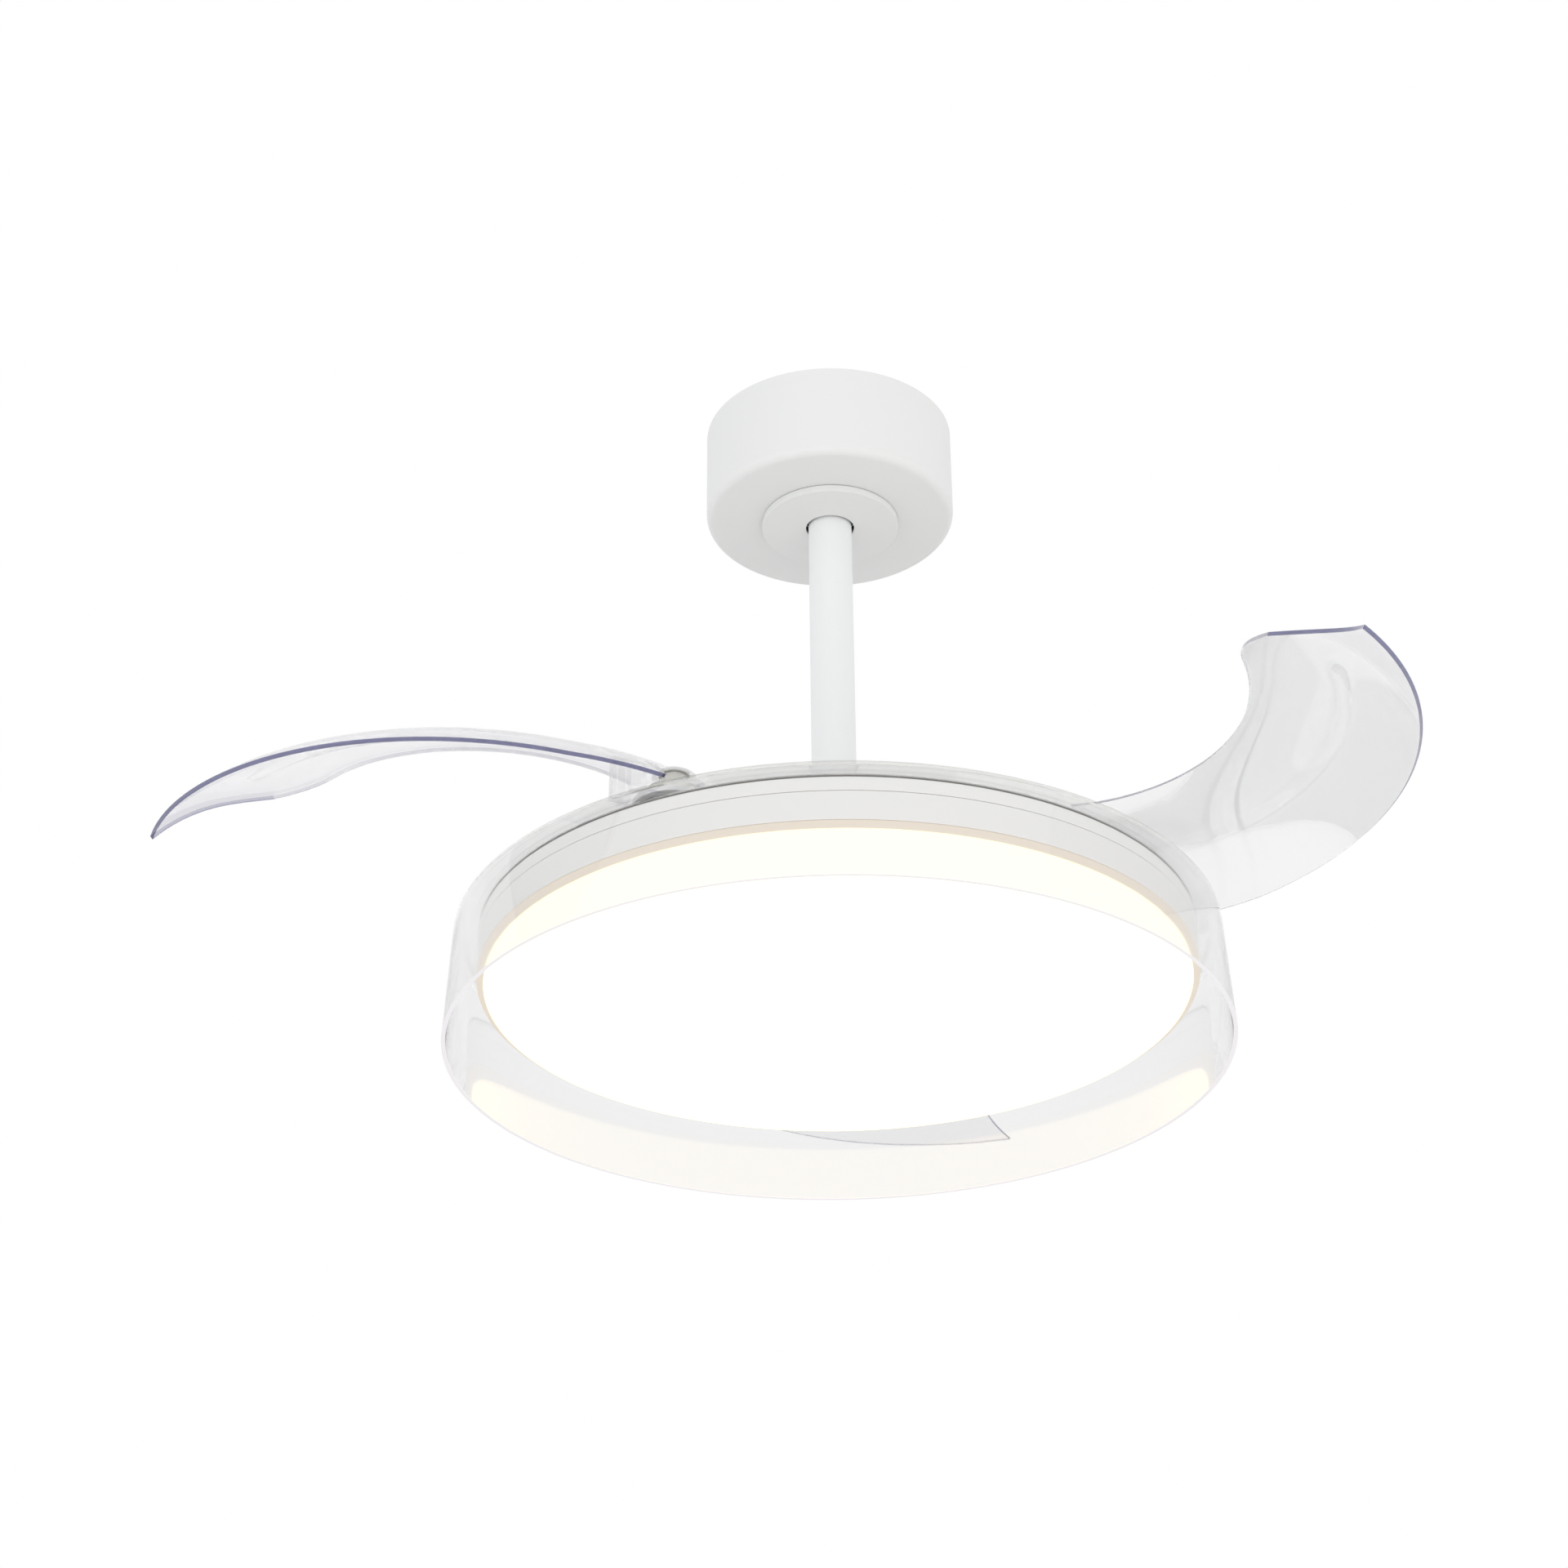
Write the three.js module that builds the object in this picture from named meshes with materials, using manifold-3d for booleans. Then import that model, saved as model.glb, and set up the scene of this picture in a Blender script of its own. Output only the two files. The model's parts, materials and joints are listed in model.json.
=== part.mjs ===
// Retractable blade ceiling fan with a round ceiling light under a clear shade.
// Millimetres, +Z up. The exported group has its origin on the ceiling plane, at the fan's axis.
// Heights inside the fan are counted from the shade's bottom rim, and the whole fan is then
// lowered so that its top face lies on the ceiling plane.

import * as THREE from 'three';
import { mergeVertices } from 'three/addons/utils/BufferGeometryUtils.js';
import Module from 'manifold-3d';

const wasm = await Module();
wasm.setup();

// ---- Driving dimensions -------------------------------------------------------------------

const overallDrop = 424; // ceiling to the shade's bottom rim

// clear shade: a flared ring wall with an inward flange at its top
const shadeRimRadius = 225;
const shadeTopRadius = 221.2;
const shadeHeight = 69.2;
const shadeWall = 2.4;
const shadeFlange = 2.5;
const shadeFlangeWidth = 35.2;
const shadeCorner = 3;
const sealWidth = 3; // of the soft ring in the flange's groove
const sealHeight = 1;
const shadeRimEdge = 0.6;
const shadeScrewInset = 6; // from the flange's inner edge to the screws

// lamp under the fan
const lampToShade = 11.8; // gap between the lamp's side and the shade's wall
const lampDepth = 28.9;
const lampPanSkirt = 8.5;
const lampSheet = 2;
const lampPanEdge = 0.5;
const diffuserBevelHeight = 3;
const diffuserBevelWidth = 4.4;
const diffuserWall = 2;
const diffuserCollar = 8;
const ledBoardInnerRadius = 78;
const ledBoardMargin = 5; // from the board's edge to the shade's screws
const ledBoardThickness = 1.6;
const ledDriverLength = 62;
const ledDriverWidth = 46;
const ledDriverHeight = 15;
const ledDriverOffset = 42;
const lampPlateRadius = 55;
const lampPlateThickness = 2.4;
const lampNutHeight = 6;
const lampNutWall = 5;
const shaftBelowNut = 3;

// motor
const shaftRadius = 8;
const shaftBore = 4;
const motorRadius = 76;
const motorWall = 4;
const motorPlate = 3;
const motorHeight = 46.8;
const bearingOuterRadius = 16;
const bearingWidth = 9;
const bearingHousingWall = 4;
const statorHubRadius = 34;
const statorHeight = 16;
const statorTeeth = 12;
const statorToothWidth = 9;
const statorShoe = 3;
const statorShoeShare = 0.8; // share of a tooth's pitch that its shoe covers
const windingOverhang = 6;
const windingWidth = 16;
const windingEdge = 2;
const magnetThickness = 3.4;
const magnetHeight = 24;
const airGap = 0.8;
const motorFlange = 12;
const coverToMotor = 20;
const coverWall = 2;
const coverHeight = 53;
const coverShoulderWidth = 26;
const coverShoulderDrop = 16;
const coverHoleRadius = 36;

// blade carrier and the gears that make the blades open together
const carrierRadius = 160;
const carrierThickness = 3;
const carrierBore = 22;
const lugRadius = 22;
const lugNeckWidth = 35;
const gearModule = 3;
const pinionTeeth = 12;
const syncRingTeeth = 111;
const gearThickness = 4;
const pressureAngle = THREE.MathUtils.degToRad(20);
const toothAddendum = 0.7;
const toothRootClearance = 0.25;
const toothBacklash = 0.45;
const syncRingInnerRadius = 148;
const keeperPostRadius = 4;
const keeperHeadRadius = 7.5;
const keeperHeadHeight = 1.6;
const stopWidth = 4;
const stopAngleGap = 1.5; // degrees left between the toothed sector and each end of its stop

// blades
const bladeCount = 3;
const firstBladeAzimuth = 2.25;
const bladeArcDistance = 205.3; // fan axis to the centre of an open blade's outer arc
const bladeBeyondPivot = 6.5; // from the pivot out to the folded blade's outer edge
const bladeWidth = 81.7;
const bladeInnerCentreX = 2.1; // centre of the folded blade's inner edge
const bladeInnerCentreY = 5.9;
const bladeOuterFrom = 6.2;
const bladeOuterTo = -110.2;
const bladeInnerFrom = 10.2;
const bladeInnerTo = -101.5;
const bladeThickness = 2.6;
const outerRiseAtRoot = 17.1; // heights of the blade's edges above the shade's top face
const outerRiseAtTip = 32.2;
const innerRiseAtRoot = 59.6;
const innerRiseAtTip = 70.1;
const bladeOuterLevel = 0.225; // share of the outer edge, from the root, that stays level
const camberAtRoot = 8.5;
const camberAtTip = 6.5;
const camberFadesFrom = 0.8; // share of the length, from the root
const camberLeftAtTip = 0.75;
const tipCutBack = 0.03; // share of the length by which the tip's edge is hollowed
const tipRoundingShare = 0.28; // share of the blade's width that its rounded tip takes off
const tipRoundingFrom = 0.86; // share of the blade's length where its tip starts to round
const tipRoundingPower = 4.6;
const bladeRibInset = 38.5; // from the outer edge
const bladeRibHalfWidth = 4;
const bladeRibDepth = 3;
const bladeRibFrom = -6;
const bladeRibTo = -92;
const bossRadius = 12;
const bossRise = 22.3; // boss top above the shade's top face
const webInset = 6; // from the pivot's circle towards the axis
const webThickness = 5;
const webFrom = -7.6;
const webTo = -11.2;
const webBelowCarrier = 1;
const webNearBoss = -4.7; // where its upper part ends
const webOverGears = 0.8;
const webOverlap = 0.1; // of its two parts, in degrees
const pivotPinRadius = 5;
const pivotHeadRadius = 8.5;
const pivotHeadHeight = 2;
const pivotFootRadius = 4;
const bladeWellMargin = 2; // around the pin's head, through the blade
const bushWall = 1.6;
const springWire = 1.3;
const springTurns = 2;
const springPitch = 1.9;
const springClearance = 0.9;

// hanging parts
const rodRadius = 13.4;
const rodWall = 2;
const canopyRadius = 76.8;
const canopyHeight = 62;
const canopyWall = 1.5;
const canopyEdge = 4;
const canopyOpening = 28;
const trimRadius = 42.3;
const trimThickness = 4.5;
const trimCollarWall = 1.6;
const trimCollarHeight = 3.4; // above the canopy's underside
const trimEdge = 1;
const trimWall = 1.8;
const rodHoleRadius = 14.9;
const ballRadius = 24;
const ballBoreClearance = 1;
const ballCutBelow = 18.5;
const ballCutAbove = 11;
const crossPinRadius = 3;
const crossPinInset = 2.5; // of the pin's ends, inside the ball
const bracketLength = 124;
const bracketWidth = 34;
const bracketSheet = 2;
const bracketLegX = 45;
const bracketSeatRadius = 19;
const bracketRingRadius = 29;
const bracketLegWidth = 17;
const bracketSlotX = 52;
const bracketSlotLength = 12;
const bracketSlotWidth = 5;
const canopyScrewX = 36;
const receiverLength = 62;
const receiverWidth = 30;
const receiverHeight = 17;
const terminalWidth = 12;
const terminalLength = 26;
const terminalHeight = 12;
const terminalDrop = 14; // from the ceiling to the top of the terminal block
const terminalSocketRadius = 2;
const couplerLength = 36;
const couplerWall = 2.6;
const couplerFloor = 12;
const couplerPinRadius = 3;
const couplerPinDrop = 12;
const couplerCoverGap = 8;
const couplerCoverEdge = 5;
const couplerCoverWall = 1.6;

// screws
const screwRadius = 2;
const screwHeadRadius = 4;
const screwHeadHeight = 2;
const screwBeyond = 1.4; // how far a screw's end stands out of the sheet that it holds

// clearances
const seatGap = 0.3;
const fitGap = 0.3;
const runningGap = 0.1;
const rotorGap = 2.3; // shade's top face to the turning carrier
const couplerGap = 1.2; // rotor cover to the standing coupler
const swingGap = 0.25;

// smoothness
const fullTurn = 360;
const roundSides = 48;
const partSides = 32;
const pinSides = 20;
const screwSides = 10;
const bladeSteps = { along: 15, across: 5 };

// ---- Levels and radii worked out from the driving dimensions --------------------------------

const turn = THREE.MathUtils.degToRad;
const degrees = THREE.MathUtils.radToDeg;

const flangeTopZ = shadeHeight;
const flangeBottomZ = flangeTopZ - shadeFlange;
const shadeFlangeInnerRadius = shadeTopRadius - shadeFlangeWidth;
const shadeScrewRadius = shadeFlangeInnerRadius + shadeScrewInset;
const shadeScrewSeatZ = flangeTopZ - screwHeadHeight - fitGap / 2;

const lampRadius = shadeTopRadius - shadeWall - lampToShade;
const panTopZ = flangeBottomZ - seatGap;
const sealTopZ = flangeBottomZ + sealHeight;
const sealOuterRadius = lampRadius - seatGap;
const sealInnerRadius = sealOuterRadius - sealWidth;
const panBottomZ = panTopZ - lampSheet;
const diffuserFaceZ = panTopZ - lampDepth;
const ringTopZ = panTopZ - lampPanSkirt - seatGap;
const ringBottomZ = diffuserFaceZ + diffuserBevelHeight + seatGap;
const collarRadius = lampRadius - lampSheet - fitGap;
const diffuserTopZ = ringBottomZ + diffuserCollar;
const lampPlateBottomZ = panTopZ + seatGap;
const lampPlateTopZ = lampPlateBottomZ + lampPlateThickness;
const lampNutTopZ = panBottomZ - seatGap;
const shaftBottomZ = lampNutTopZ - lampNutHeight - shaftBelowNut;

const carrierBottomZ = flangeTopZ + rotorGap;
const carrierTopZ = carrierBottomZ + carrierThickness;
const gearBottomZ = carrierTopZ + seatGap;
const gearTopZ = gearBottomZ + gearThickness;

const motorBottomZ = carrierTopZ + seatGap;
const motorTopZ = motorBottomZ + motorHeight;
const motorMiddleZ = (motorBottomZ + motorTopZ) / 2;
const magnetOuterRadius = motorRadius - motorWall - fitGap;
const magnetInnerRadius = magnetOuterRadius - magnetThickness;
const statorRadius = magnetInnerRadius - airGap;
const bearingSeatRadius = bearingOuterRadius + runningGap;
const bearingBore = shaftRadius + runningGap;
const lowerBearingZ = motorBottomZ + motorPlate + seatGap + bearingWidth / 2;
const upperBearingZ = motorTopZ - motorPlate - seatGap - bearingWidth / 2;
const rotorScrewRadius = motorRadius + motorFlange / 2;
const coverRadius = motorRadius + coverToMotor;
const coverBottomZ = motorBottomZ + motorPlate + seatGap;
const coverTopZ = coverBottomZ + coverHeight;

const pinionPitchRadius = (gearModule * pinionTeeth) / 2;
const syncPitchRadius = (gearModule * syncRingTeeth) / 2;
const toothDedendum = toothAddendum + toothRootClearance;
const pivotRadius = pinionPitchRadius + syncPitchRadius;
const bladeOuterRadius = pivotRadius + bladeBeyondPivot;
const bladeInnerRadius = bladeOuterRadius - bladeWidth;
const bladeRibRadius = bladeOuterRadius - bladeRibInset;
const webRadius = pivotRadius - webInset;
const bladeSwing = degrees(2 * Math.asin(bladeArcDistance / (2 * pivotRadius)));
const keeperPitchRadius = syncRingInnerRadius * Math.cos(Math.PI / roundSides)
  - runningGap - keeperPostRadius;
const bossTopZ = flangeTopZ + bossRise;
const bossBore = pivotPinRadius + runningGap + bushWall + fitGap;

const canopyBottomZ = overallDrop - canopyHeight;
const bracketTopZ = overallDrop;
const trimTopZ = canopyBottomZ - seatGap;
const trimBottomZ = trimTopZ - trimThickness;
const collarTopZ = canopyBottomZ + trimCollarHeight;
const bracketFloorZ = collarTopZ + seatGap;
const bracketFloorTopZ = bracketFloorZ + bracketSheet;
const ballRise = Math.sqrt((ballRadius + swingGap) ** 2 - bracketSeatRadius ** 2);
const ballCentreZ = bracketFloorTopZ + ballRise;
const rodTopZ = ballCentreZ + ballCutAbove;
const couplerBottomZ = coverTopZ + couplerGap;
const couplerTopZ = couplerBottomZ + couplerLength;
const couplerPinZ = couplerTopZ - couplerPinDrop;
const couplerRadius = rodRadius + fitGap + couplerWall;
const rodBottomZ = couplerBottomZ + couplerFloor + seatGap;
const shaftTopZ = couplerBottomZ + couplerFloor;

// ---- Making solids --------------------------------------------------------------------------

function toSolid(geometry) {
  const bare = geometry.index ? geometry.toNonIndexed() : geometry.clone();
  for (const name of Object.keys(bare.attributes)) {
    if (name !== 'position') {
      bare.deleteAttribute(name);
    }
  }
  const merged = mergeVertices(bare, 1e-4);
  const positions = merged.attributes.position.array;
  const corners = [];
  for (let i = 0; i < merged.index.count; i += 3) {
    const [a, b, c] = [0, 1, 2].map((k) => merged.index.getX(i + k));
    if (a !== b && b !== c && c !== a) {
      corners.push(a, b, c);
    }
  }
  if (signedVolume(positions, corners) < 0) {
    corners.reverse();
  }
  return new wasm.Manifold(new wasm.Mesh({
    numProp: 3,
    vertProperties: new Float32Array(positions),
    triVerts: new Uint32Array(corners),
  }));
}

function signedVolume(positions, corners) {
  const point = (i) => new THREE.Vector3().fromArray(positions, 3 * corners[i]);
  let sum = 0;
  for (let i = 0; i < corners.length; i += 3) {
    sum += point(i).dot(point(i + 1).cross(point(i + 2)));
  }
  return sum / 6;
}

function toGeometry(solid) {
  const { vertProperties, triVerts } = solid.getMesh();
  const geometry = new THREE.BufferGeometry();
  geometry.setAttribute('position', new THREE.BufferAttribute(new Float32Array(vertProperties), 3));
  geometry.setIndex(new THREE.BufferAttribute(new Uint32Array(triVerts), 1));
  geometry.computeVertexNormals();
  return geometry;
}

// A body turned about the Z axis from [radius, height] points, which close on themselves
// or start and end on the axis.
function turned(profile, sides = partSides) {
  const points = profile.map(([radius, height]) => new THREE.Vector2(radius, height));
  const onAxis = profile[0][0] === 0 && profile[profile.length - 1][0] === 0;
  if (!onAxis) {
    points.push(points[0].clone());
  }
  const geometry = new THREE.LatheGeometry(points, sides);
  geometry.rotateX(Math.PI / 2);
  return toSolid(geometry);
}

function tube(outer, inner, bottom, top, sides = partSides) {
  return turned([[inner, bottom], [outer, bottom], [outer, top], [inner, top]], sides);
}

function rod(radius, bottom, top, sides = pinSides) {
  return turned([[0, bottom], [radius, bottom], [radius, top], [0, top]], sides);
}

// A round bar lying along Y through the axis.
function crossRod(radius, halfLength, height) {
  const geometry = new THREE.CylinderGeometry(radius, radius, 2 * halfLength, pinSides);
  return toSolid(geometry).translate([0, 0, height]);
}

function block(size, cx, cy, bottom) {
  const geometry = new THREE.BoxGeometry(size.x, size.y, size.z);
  geometry.translate(cx, cy, bottom + size.z / 2);
  return toSolid(geometry);
}

function prism(outline, bottom, top) {
  const shape = new THREE.Shape(outline.map(([x, y]) => new THREE.Vector2(x, y)));
  const geometry = new THREE.ExtrudeGeometry(shape, { depth: top - bottom, bevelEnabled: false });
  geometry.translate(0, 0, bottom);
  return toSolid(geometry);
}

function polar(radius, azimuth) {
  return [radius * Math.cos(turn(azimuth)), radius * Math.sin(turn(azimuth))];
}

// A band between two radii and two azimuths.
function arcBand(inner, outer, from, to, bottom, top, steps) {
  const outline = [];
  for (let i = 0; i <= steps; i += 1) {
    outline.push(polar(outer, from + ((to - from) * i) / steps));
  }
  for (let i = steps; i >= 0; i -= 1) {
    outline.push(polar(inner, from + ((to - from) * i) / steps));
  }
  return prism(outline, bottom, top);
}

// Points of a rounded corner in a turned profile, without the first one.
function corner(centreRadius, centreHeight, radius, from, to, steps) {
  const points = [];
  for (let i = 1; i <= steps; i += 1) {
    const angle = turn(from + ((to - from) * i) / steps);
    points.push([centreRadius + radius * Math.cos(angle), centreHeight + radius * Math.sin(angle)]);
  }
  return points;
}

function joined(...solids) {
  return solids.reduce((whole, solid) => whole.add(solid));
}

function cut(solid, ...tools) {
  return tools.reduce((rest, tool) => rest.subtract(tool), solid);
}

function aroundAxis(solid, count = bladeCount) {
  const copies = [];
  for (let i = 0; i < count; i += 1) {
    copies.push(solid.rotate([0, 0, (fullTurn * i) / count]));
  }
  return copies;
}

function bothSides(solid, x) {
  return [-x, x].map((place) => solid.translate([place, 0, 0]));
}

function screwHole(bottom, top, gap = fitGap) {
  return rod(screwRadius + gap, bottom - 1, top + 1, screwSides);
}

// A screw that points up; its head hangs below the given height.
function screwUp(headTop, end) {
  return joined(
    rod(screwHeadRadius, headTop - screwHeadHeight, headTop, screwSides),
    rod(screwRadius, headTop - screwHeadHeight / 2, end, screwSides),
  );
}

// A screw that points down; its head stands on the given height.
function screwDown(headBottom, end) {
  return joined(
    rod(screwHeadRadius, headBottom, headBottom + screwHeadHeight, screwSides),
    rod(screwRadius, end, headBottom + screwHeadHeight / 2, screwSides),
  );
}

// ---- Ceiling fixing -------------------------------------------------------------------------

// A slot with round ends, for a screw into the ceiling.
function mountingSlot() {
  const bottom = bracketTopZ - bracketSheet - 1;
  const height = bracketSheet + 2;
  const halfSpan = (bracketSlotLength - bracketSlotWidth) / 2;
  const end = rod(bracketSlotWidth / 2, bottom, bottom + height);
  const size = { x: 2 * halfSpan, y: bracketSlotWidth, z: height };
  return joined(block(size, 0, 0, bottom), ...bothSides(end, halfSpan));
}

function ceilingBracket() {
  const plateBottom = bracketTopZ - bracketSheet;
  const plate = { x: bracketLength, y: bracketWidth, z: bracketSheet };
  const leg = { x: bracketSheet, y: bracketLegWidth, z: bracketTopZ - bracketFloorZ };
  const ears = { x: 2 * bracketLegX + bracketSheet, y: bracketLegWidth, z: bracketSheet };
  return cut(
    joined(
      block(plate, 0, 0, plateBottom),
      ...bothSides(block(leg, 0, 0, bracketFloorZ), bracketLegX),
      block(ears, 0, 0, bracketFloorZ),
      rod(bracketRingRadius, bracketFloorZ, bracketFloorTopZ, partSides),
    ),
    rod(bracketSeatRadius, bracketFloorZ - 1, bracketFloorTopZ + 1, partSides),
    ...bothSides(mountingSlot(), bracketSlotX),
    ...bothSides(screwHole(bracketFloorZ, bracketFloorTopZ), canopyScrewX),
  );
}

function canopyShell() {
  const inner = canopyRadius - canopyWall;
  const low = canopyBottomZ;
  const bend = canopyRadius - canopyEdge;
  const shell = turned([
    [canopyOpening, low],
    [bend, low],
    ...corner(bend, low + canopyEdge, canopyEdge, -90, 0, 3),
    [canopyRadius, overallDrop],
    [inner, overallDrop],
    [inner, low + canopyEdge],
    [inner - canopyEdge + canopyWall, low + canopyWall],
    [canopyOpening, low + canopyWall],
  ], roundSides);
  return cut(shell, ...bothSides(screwHole(low, low + canopyWall), canopyScrewX));
}

function canopyScrew() {
  return screwUp(canopyBottomZ - fitGap / 2, bracketFloorTopZ + screwBeyond);
}

// A shallow cup that hides the canopy's screws; its collar pushes into the canopy's opening.
function canopyTrim() {
  const collar = canopyOpening - fitGap;
  const floor = trimBottomZ + trimWall;
  return turned([
    [rodHoleRadius, trimBottomZ],
    [trimRadius - trimEdge, trimBottomZ],
    [trimRadius, trimBottomZ + trimEdge],
    [trimRadius, trimTopZ],
    [trimRadius - trimWall, trimTopZ],
    [trimRadius - trimWall, floor],
    [collar, floor],
    [collar, collarTopZ],
    [collar - trimWall, collarTopZ],
    [collar - trimWall, floor],
    [rodHoleRadius, floor],
  ]);
}

function receiverBox() {
  const size = { x: receiverLength, y: receiverWidth, z: receiverHeight };
  return block(size, 0, 0, bracketTopZ - bracketSheet - seatGap - size.z);
}

function terminalBlock() {
  const size = { x: terminalWidth, y: terminalLength, z: terminalHeight };
  const cx = bracketLegX + bracketSheet / 2 + seatGap + size.x / 2;
  const top = overallDrop - terminalDrop;
  const socket = rod(terminalSocketRadius, top - size.z / 2, top + 1, screwSides);
  const sockets = [-1, 0, 1].map((step) => socket.translate([cx, (step * size.y) / 3, 0]));
  return cut(block(size, cx, 0, top - size.z), ...sockets);
}

// ---- Ball, rod and coupler ------------------------------------------------------------------

function hangerBall() {
  const low = -degrees(Math.asin(ballCutBelow / ballRadius));
  const high = degrees(Math.asin(ballCutAbove / ballRadius));
  const ball = turned([
    [0, ballCentreZ - ballCutBelow],
    [ballRadius * Math.cos(turn(low)), ballCentreZ - ballCutBelow],
    ...corner(0, ballCentreZ, ballRadius, low, high, 7),
    [0, ballCentreZ + ballCutAbove],
  ]);
  const bore = rod(rodRadius + ballBoreClearance, rodTopZ - 2 * ballRadius, rodTopZ + 1, partSides);
  return cut(ball, bore, crossRod(crossPinRadius + fitGap, ballRadius, ballCentreZ));
}

function hangerPin() {
  return crossRod(crossPinRadius, ballRadius - crossPinInset, ballCentreZ);
}

function downrod() {
  return cut(
    tube(rodRadius, rodRadius - rodWall, rodBottomZ, rodTopZ, pinSides),
    crossRod(crossPinRadius + runningGap, ballRadius, ballCentreZ),
    crossRod(couplerPinRadius + fitGap, ballRadius, couplerPinZ),
  );
}

function rodCoupler() {
  const socket = rodRadius + fitGap;
  const bore = shaftRadius + fitGap;
  const body = turned([
    [bore, couplerBottomZ],
    [couplerRadius, couplerBottomZ],
    [couplerRadius, couplerTopZ],
    [socket, couplerTopZ],
    [socket, shaftTopZ],
    [bore, shaftTopZ],
  ], pinSides);
  return cut(body, crossRod(couplerPinRadius + fitGap, ballRadius, couplerPinZ));
}

function couplerPin() {
  return crossRod(couplerPinRadius, couplerRadius, couplerPinZ);
}

// A cap that slides down the rod and stands on the coupler's top.
function couplerCover() {
  const wall = couplerCoverWall;
  const outer = couplerRadius + couplerCoverGap + wall;
  const edge = couplerCoverEdge;
  const high = couplerTopZ + seatGap + wall;
  const hole = rodRadius + fitGap;
  return turned([
    [outer - wall, couplerBottomZ],
    [outer, couplerBottomZ],
    [outer, high - edge],
    ...corner(outer - edge, high - edge, edge, 0, 90, 2),
    [hole, high],
    [hole, high - wall],
    [outer - edge, high - wall],
    [outer - wall, high - edge],
  ]);
}

// ---- Motor ----------------------------------------------------------------------------------

function motorShaft() {
  return tube(shaftRadius, shaftBore, shaftBottomZ, shaftTopZ, pinSides);
}

// The gap between the two races shows as a groove in the upper face.
function bearing(middle) {
  const race = (bearingOuterRadius - bearingBore) / 4;
  const low = middle - bearingWidth / 2;
  const high = middle + bearingWidth / 2;
  return turned([
    [bearingBore, low],
    [bearingOuterRadius, low],
    [bearingOuterRadius, high],
    [bearingOuterRadius - race, high],
    [bearingOuterRadius - race, high - 1],
    [bearingBore + race, high - 1],
    [bearingBore + race, high],
    [bearingBore, high],
  ], pinSides);
}

// The lower end bell, whose outer wall carries the magnets and whose flange is screwed down.
function motorHousing() {
  const floor = motorBottomZ + motorPlate;
  const top = motorTopZ - motorPlate - seatGap;
  const hub = bearingSeatRadius + bearingHousingWall;
  const bell = turned([
    [bearingBore + 2, motorBottomZ],
    [motorRadius + motorFlange, motorBottomZ],
    [motorRadius + motorFlange, floor],
    [motorRadius, floor],
    [motorRadius, top],
    [motorRadius - motorWall, top],
    [motorRadius - motorWall, floor],
    [hub, floor],
    [hub, floor + bearingWidth],
    [bearingSeatRadius, floor + bearingWidth],
    [bearingSeatRadius, floor],
    [bearingBore + 2, floor],
  ]);
  const hole = screwHole(motorBottomZ, floor).translate([rotorScrewRadius, 0, 0]);
  return cut(bell, ...aroundAxis(hole));
}

function motorLid() {
  const under = motorTopZ - motorPlate;
  const hub = bearingSeatRadius + bearingHousingWall;
  return turned([
    [bearingBore + 2, under],
    [bearingSeatRadius, under],
    [bearingSeatRadius, under - bearingWidth],
    [hub, under - bearingWidth],
    [hub, under],
    [motorRadius, under],
    [motorRadius, motorTopZ],
    [bearingBore + 2, motorTopZ],
  ]);
}

function magnetRing() {
  const low = motorMiddleZ - magnetHeight / 2;
  return tube(magnetOuterRadius, magnetInnerRadius, low, low + magnetHeight);
}

function statorCore() {
  const low = motorMiddleZ - statorHeight / 2;
  const high = low + statorHeight;
  const length = statorRadius - statorHubRadius;
  const shoeAngle = (statorShoeShare * fullTurn) / statorTeeth / 2;
  const size = { x: length, y: statorToothWidth, z: statorHeight };
  const tooth = joined(
    block(size, statorHubRadius + length / 2 - 1, 0, low),
    arcBand(statorRadius - statorShoe, statorRadius, -shoeAngle, shoeAngle, low, high, 2),
  );
  const hub = tube(statorHubRadius, shaftRadius + fitGap, low, high, statorTeeth * 2);
  return joined(hub, ...aroundAxis(tooth, statorTeeth));
}

// End windings above and below the core, joined by the bundles that pass through its slots.
function statorWinding() {
  const inner = statorHubRadius + fitGap;
  const outer = inner + windingWidth;
  const edge = windingEdge;
  const endRing = (low, high) => turned([
    [inner, low],
    [outer - edge, low],
    [outer, low + edge],
    [outer, high - edge],
    [outer - edge, high],
    [inner, high],
  ], statorTeeth * 2);
  const bottom = motorMiddleZ - statorHeight / 2 - seatGap;
  const top = motorMiddleZ + statorHeight / 2 + seatGap;
  const bundleInner = inner + windingWidth / 3;
  const slotWidth = 2 * bundleInner * Math.sin(Math.PI / statorTeeth) - statorToothWidth;
  const size = { x: windingWidth / 2, y: slotWidth - 2 * fitGap, z: top - bottom + 2 };
  const bundle = block(size, bundleInner + size.x / 2, 0, bottom - 1)
    .rotate([0, 0, 180 / statorTeeth]);
  return joined(
    endRing(bottom - windingOverhang, bottom),
    endRing(top, top + windingOverhang),
    ...aroundAxis(bundle, statorTeeth),
  );
}

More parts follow.
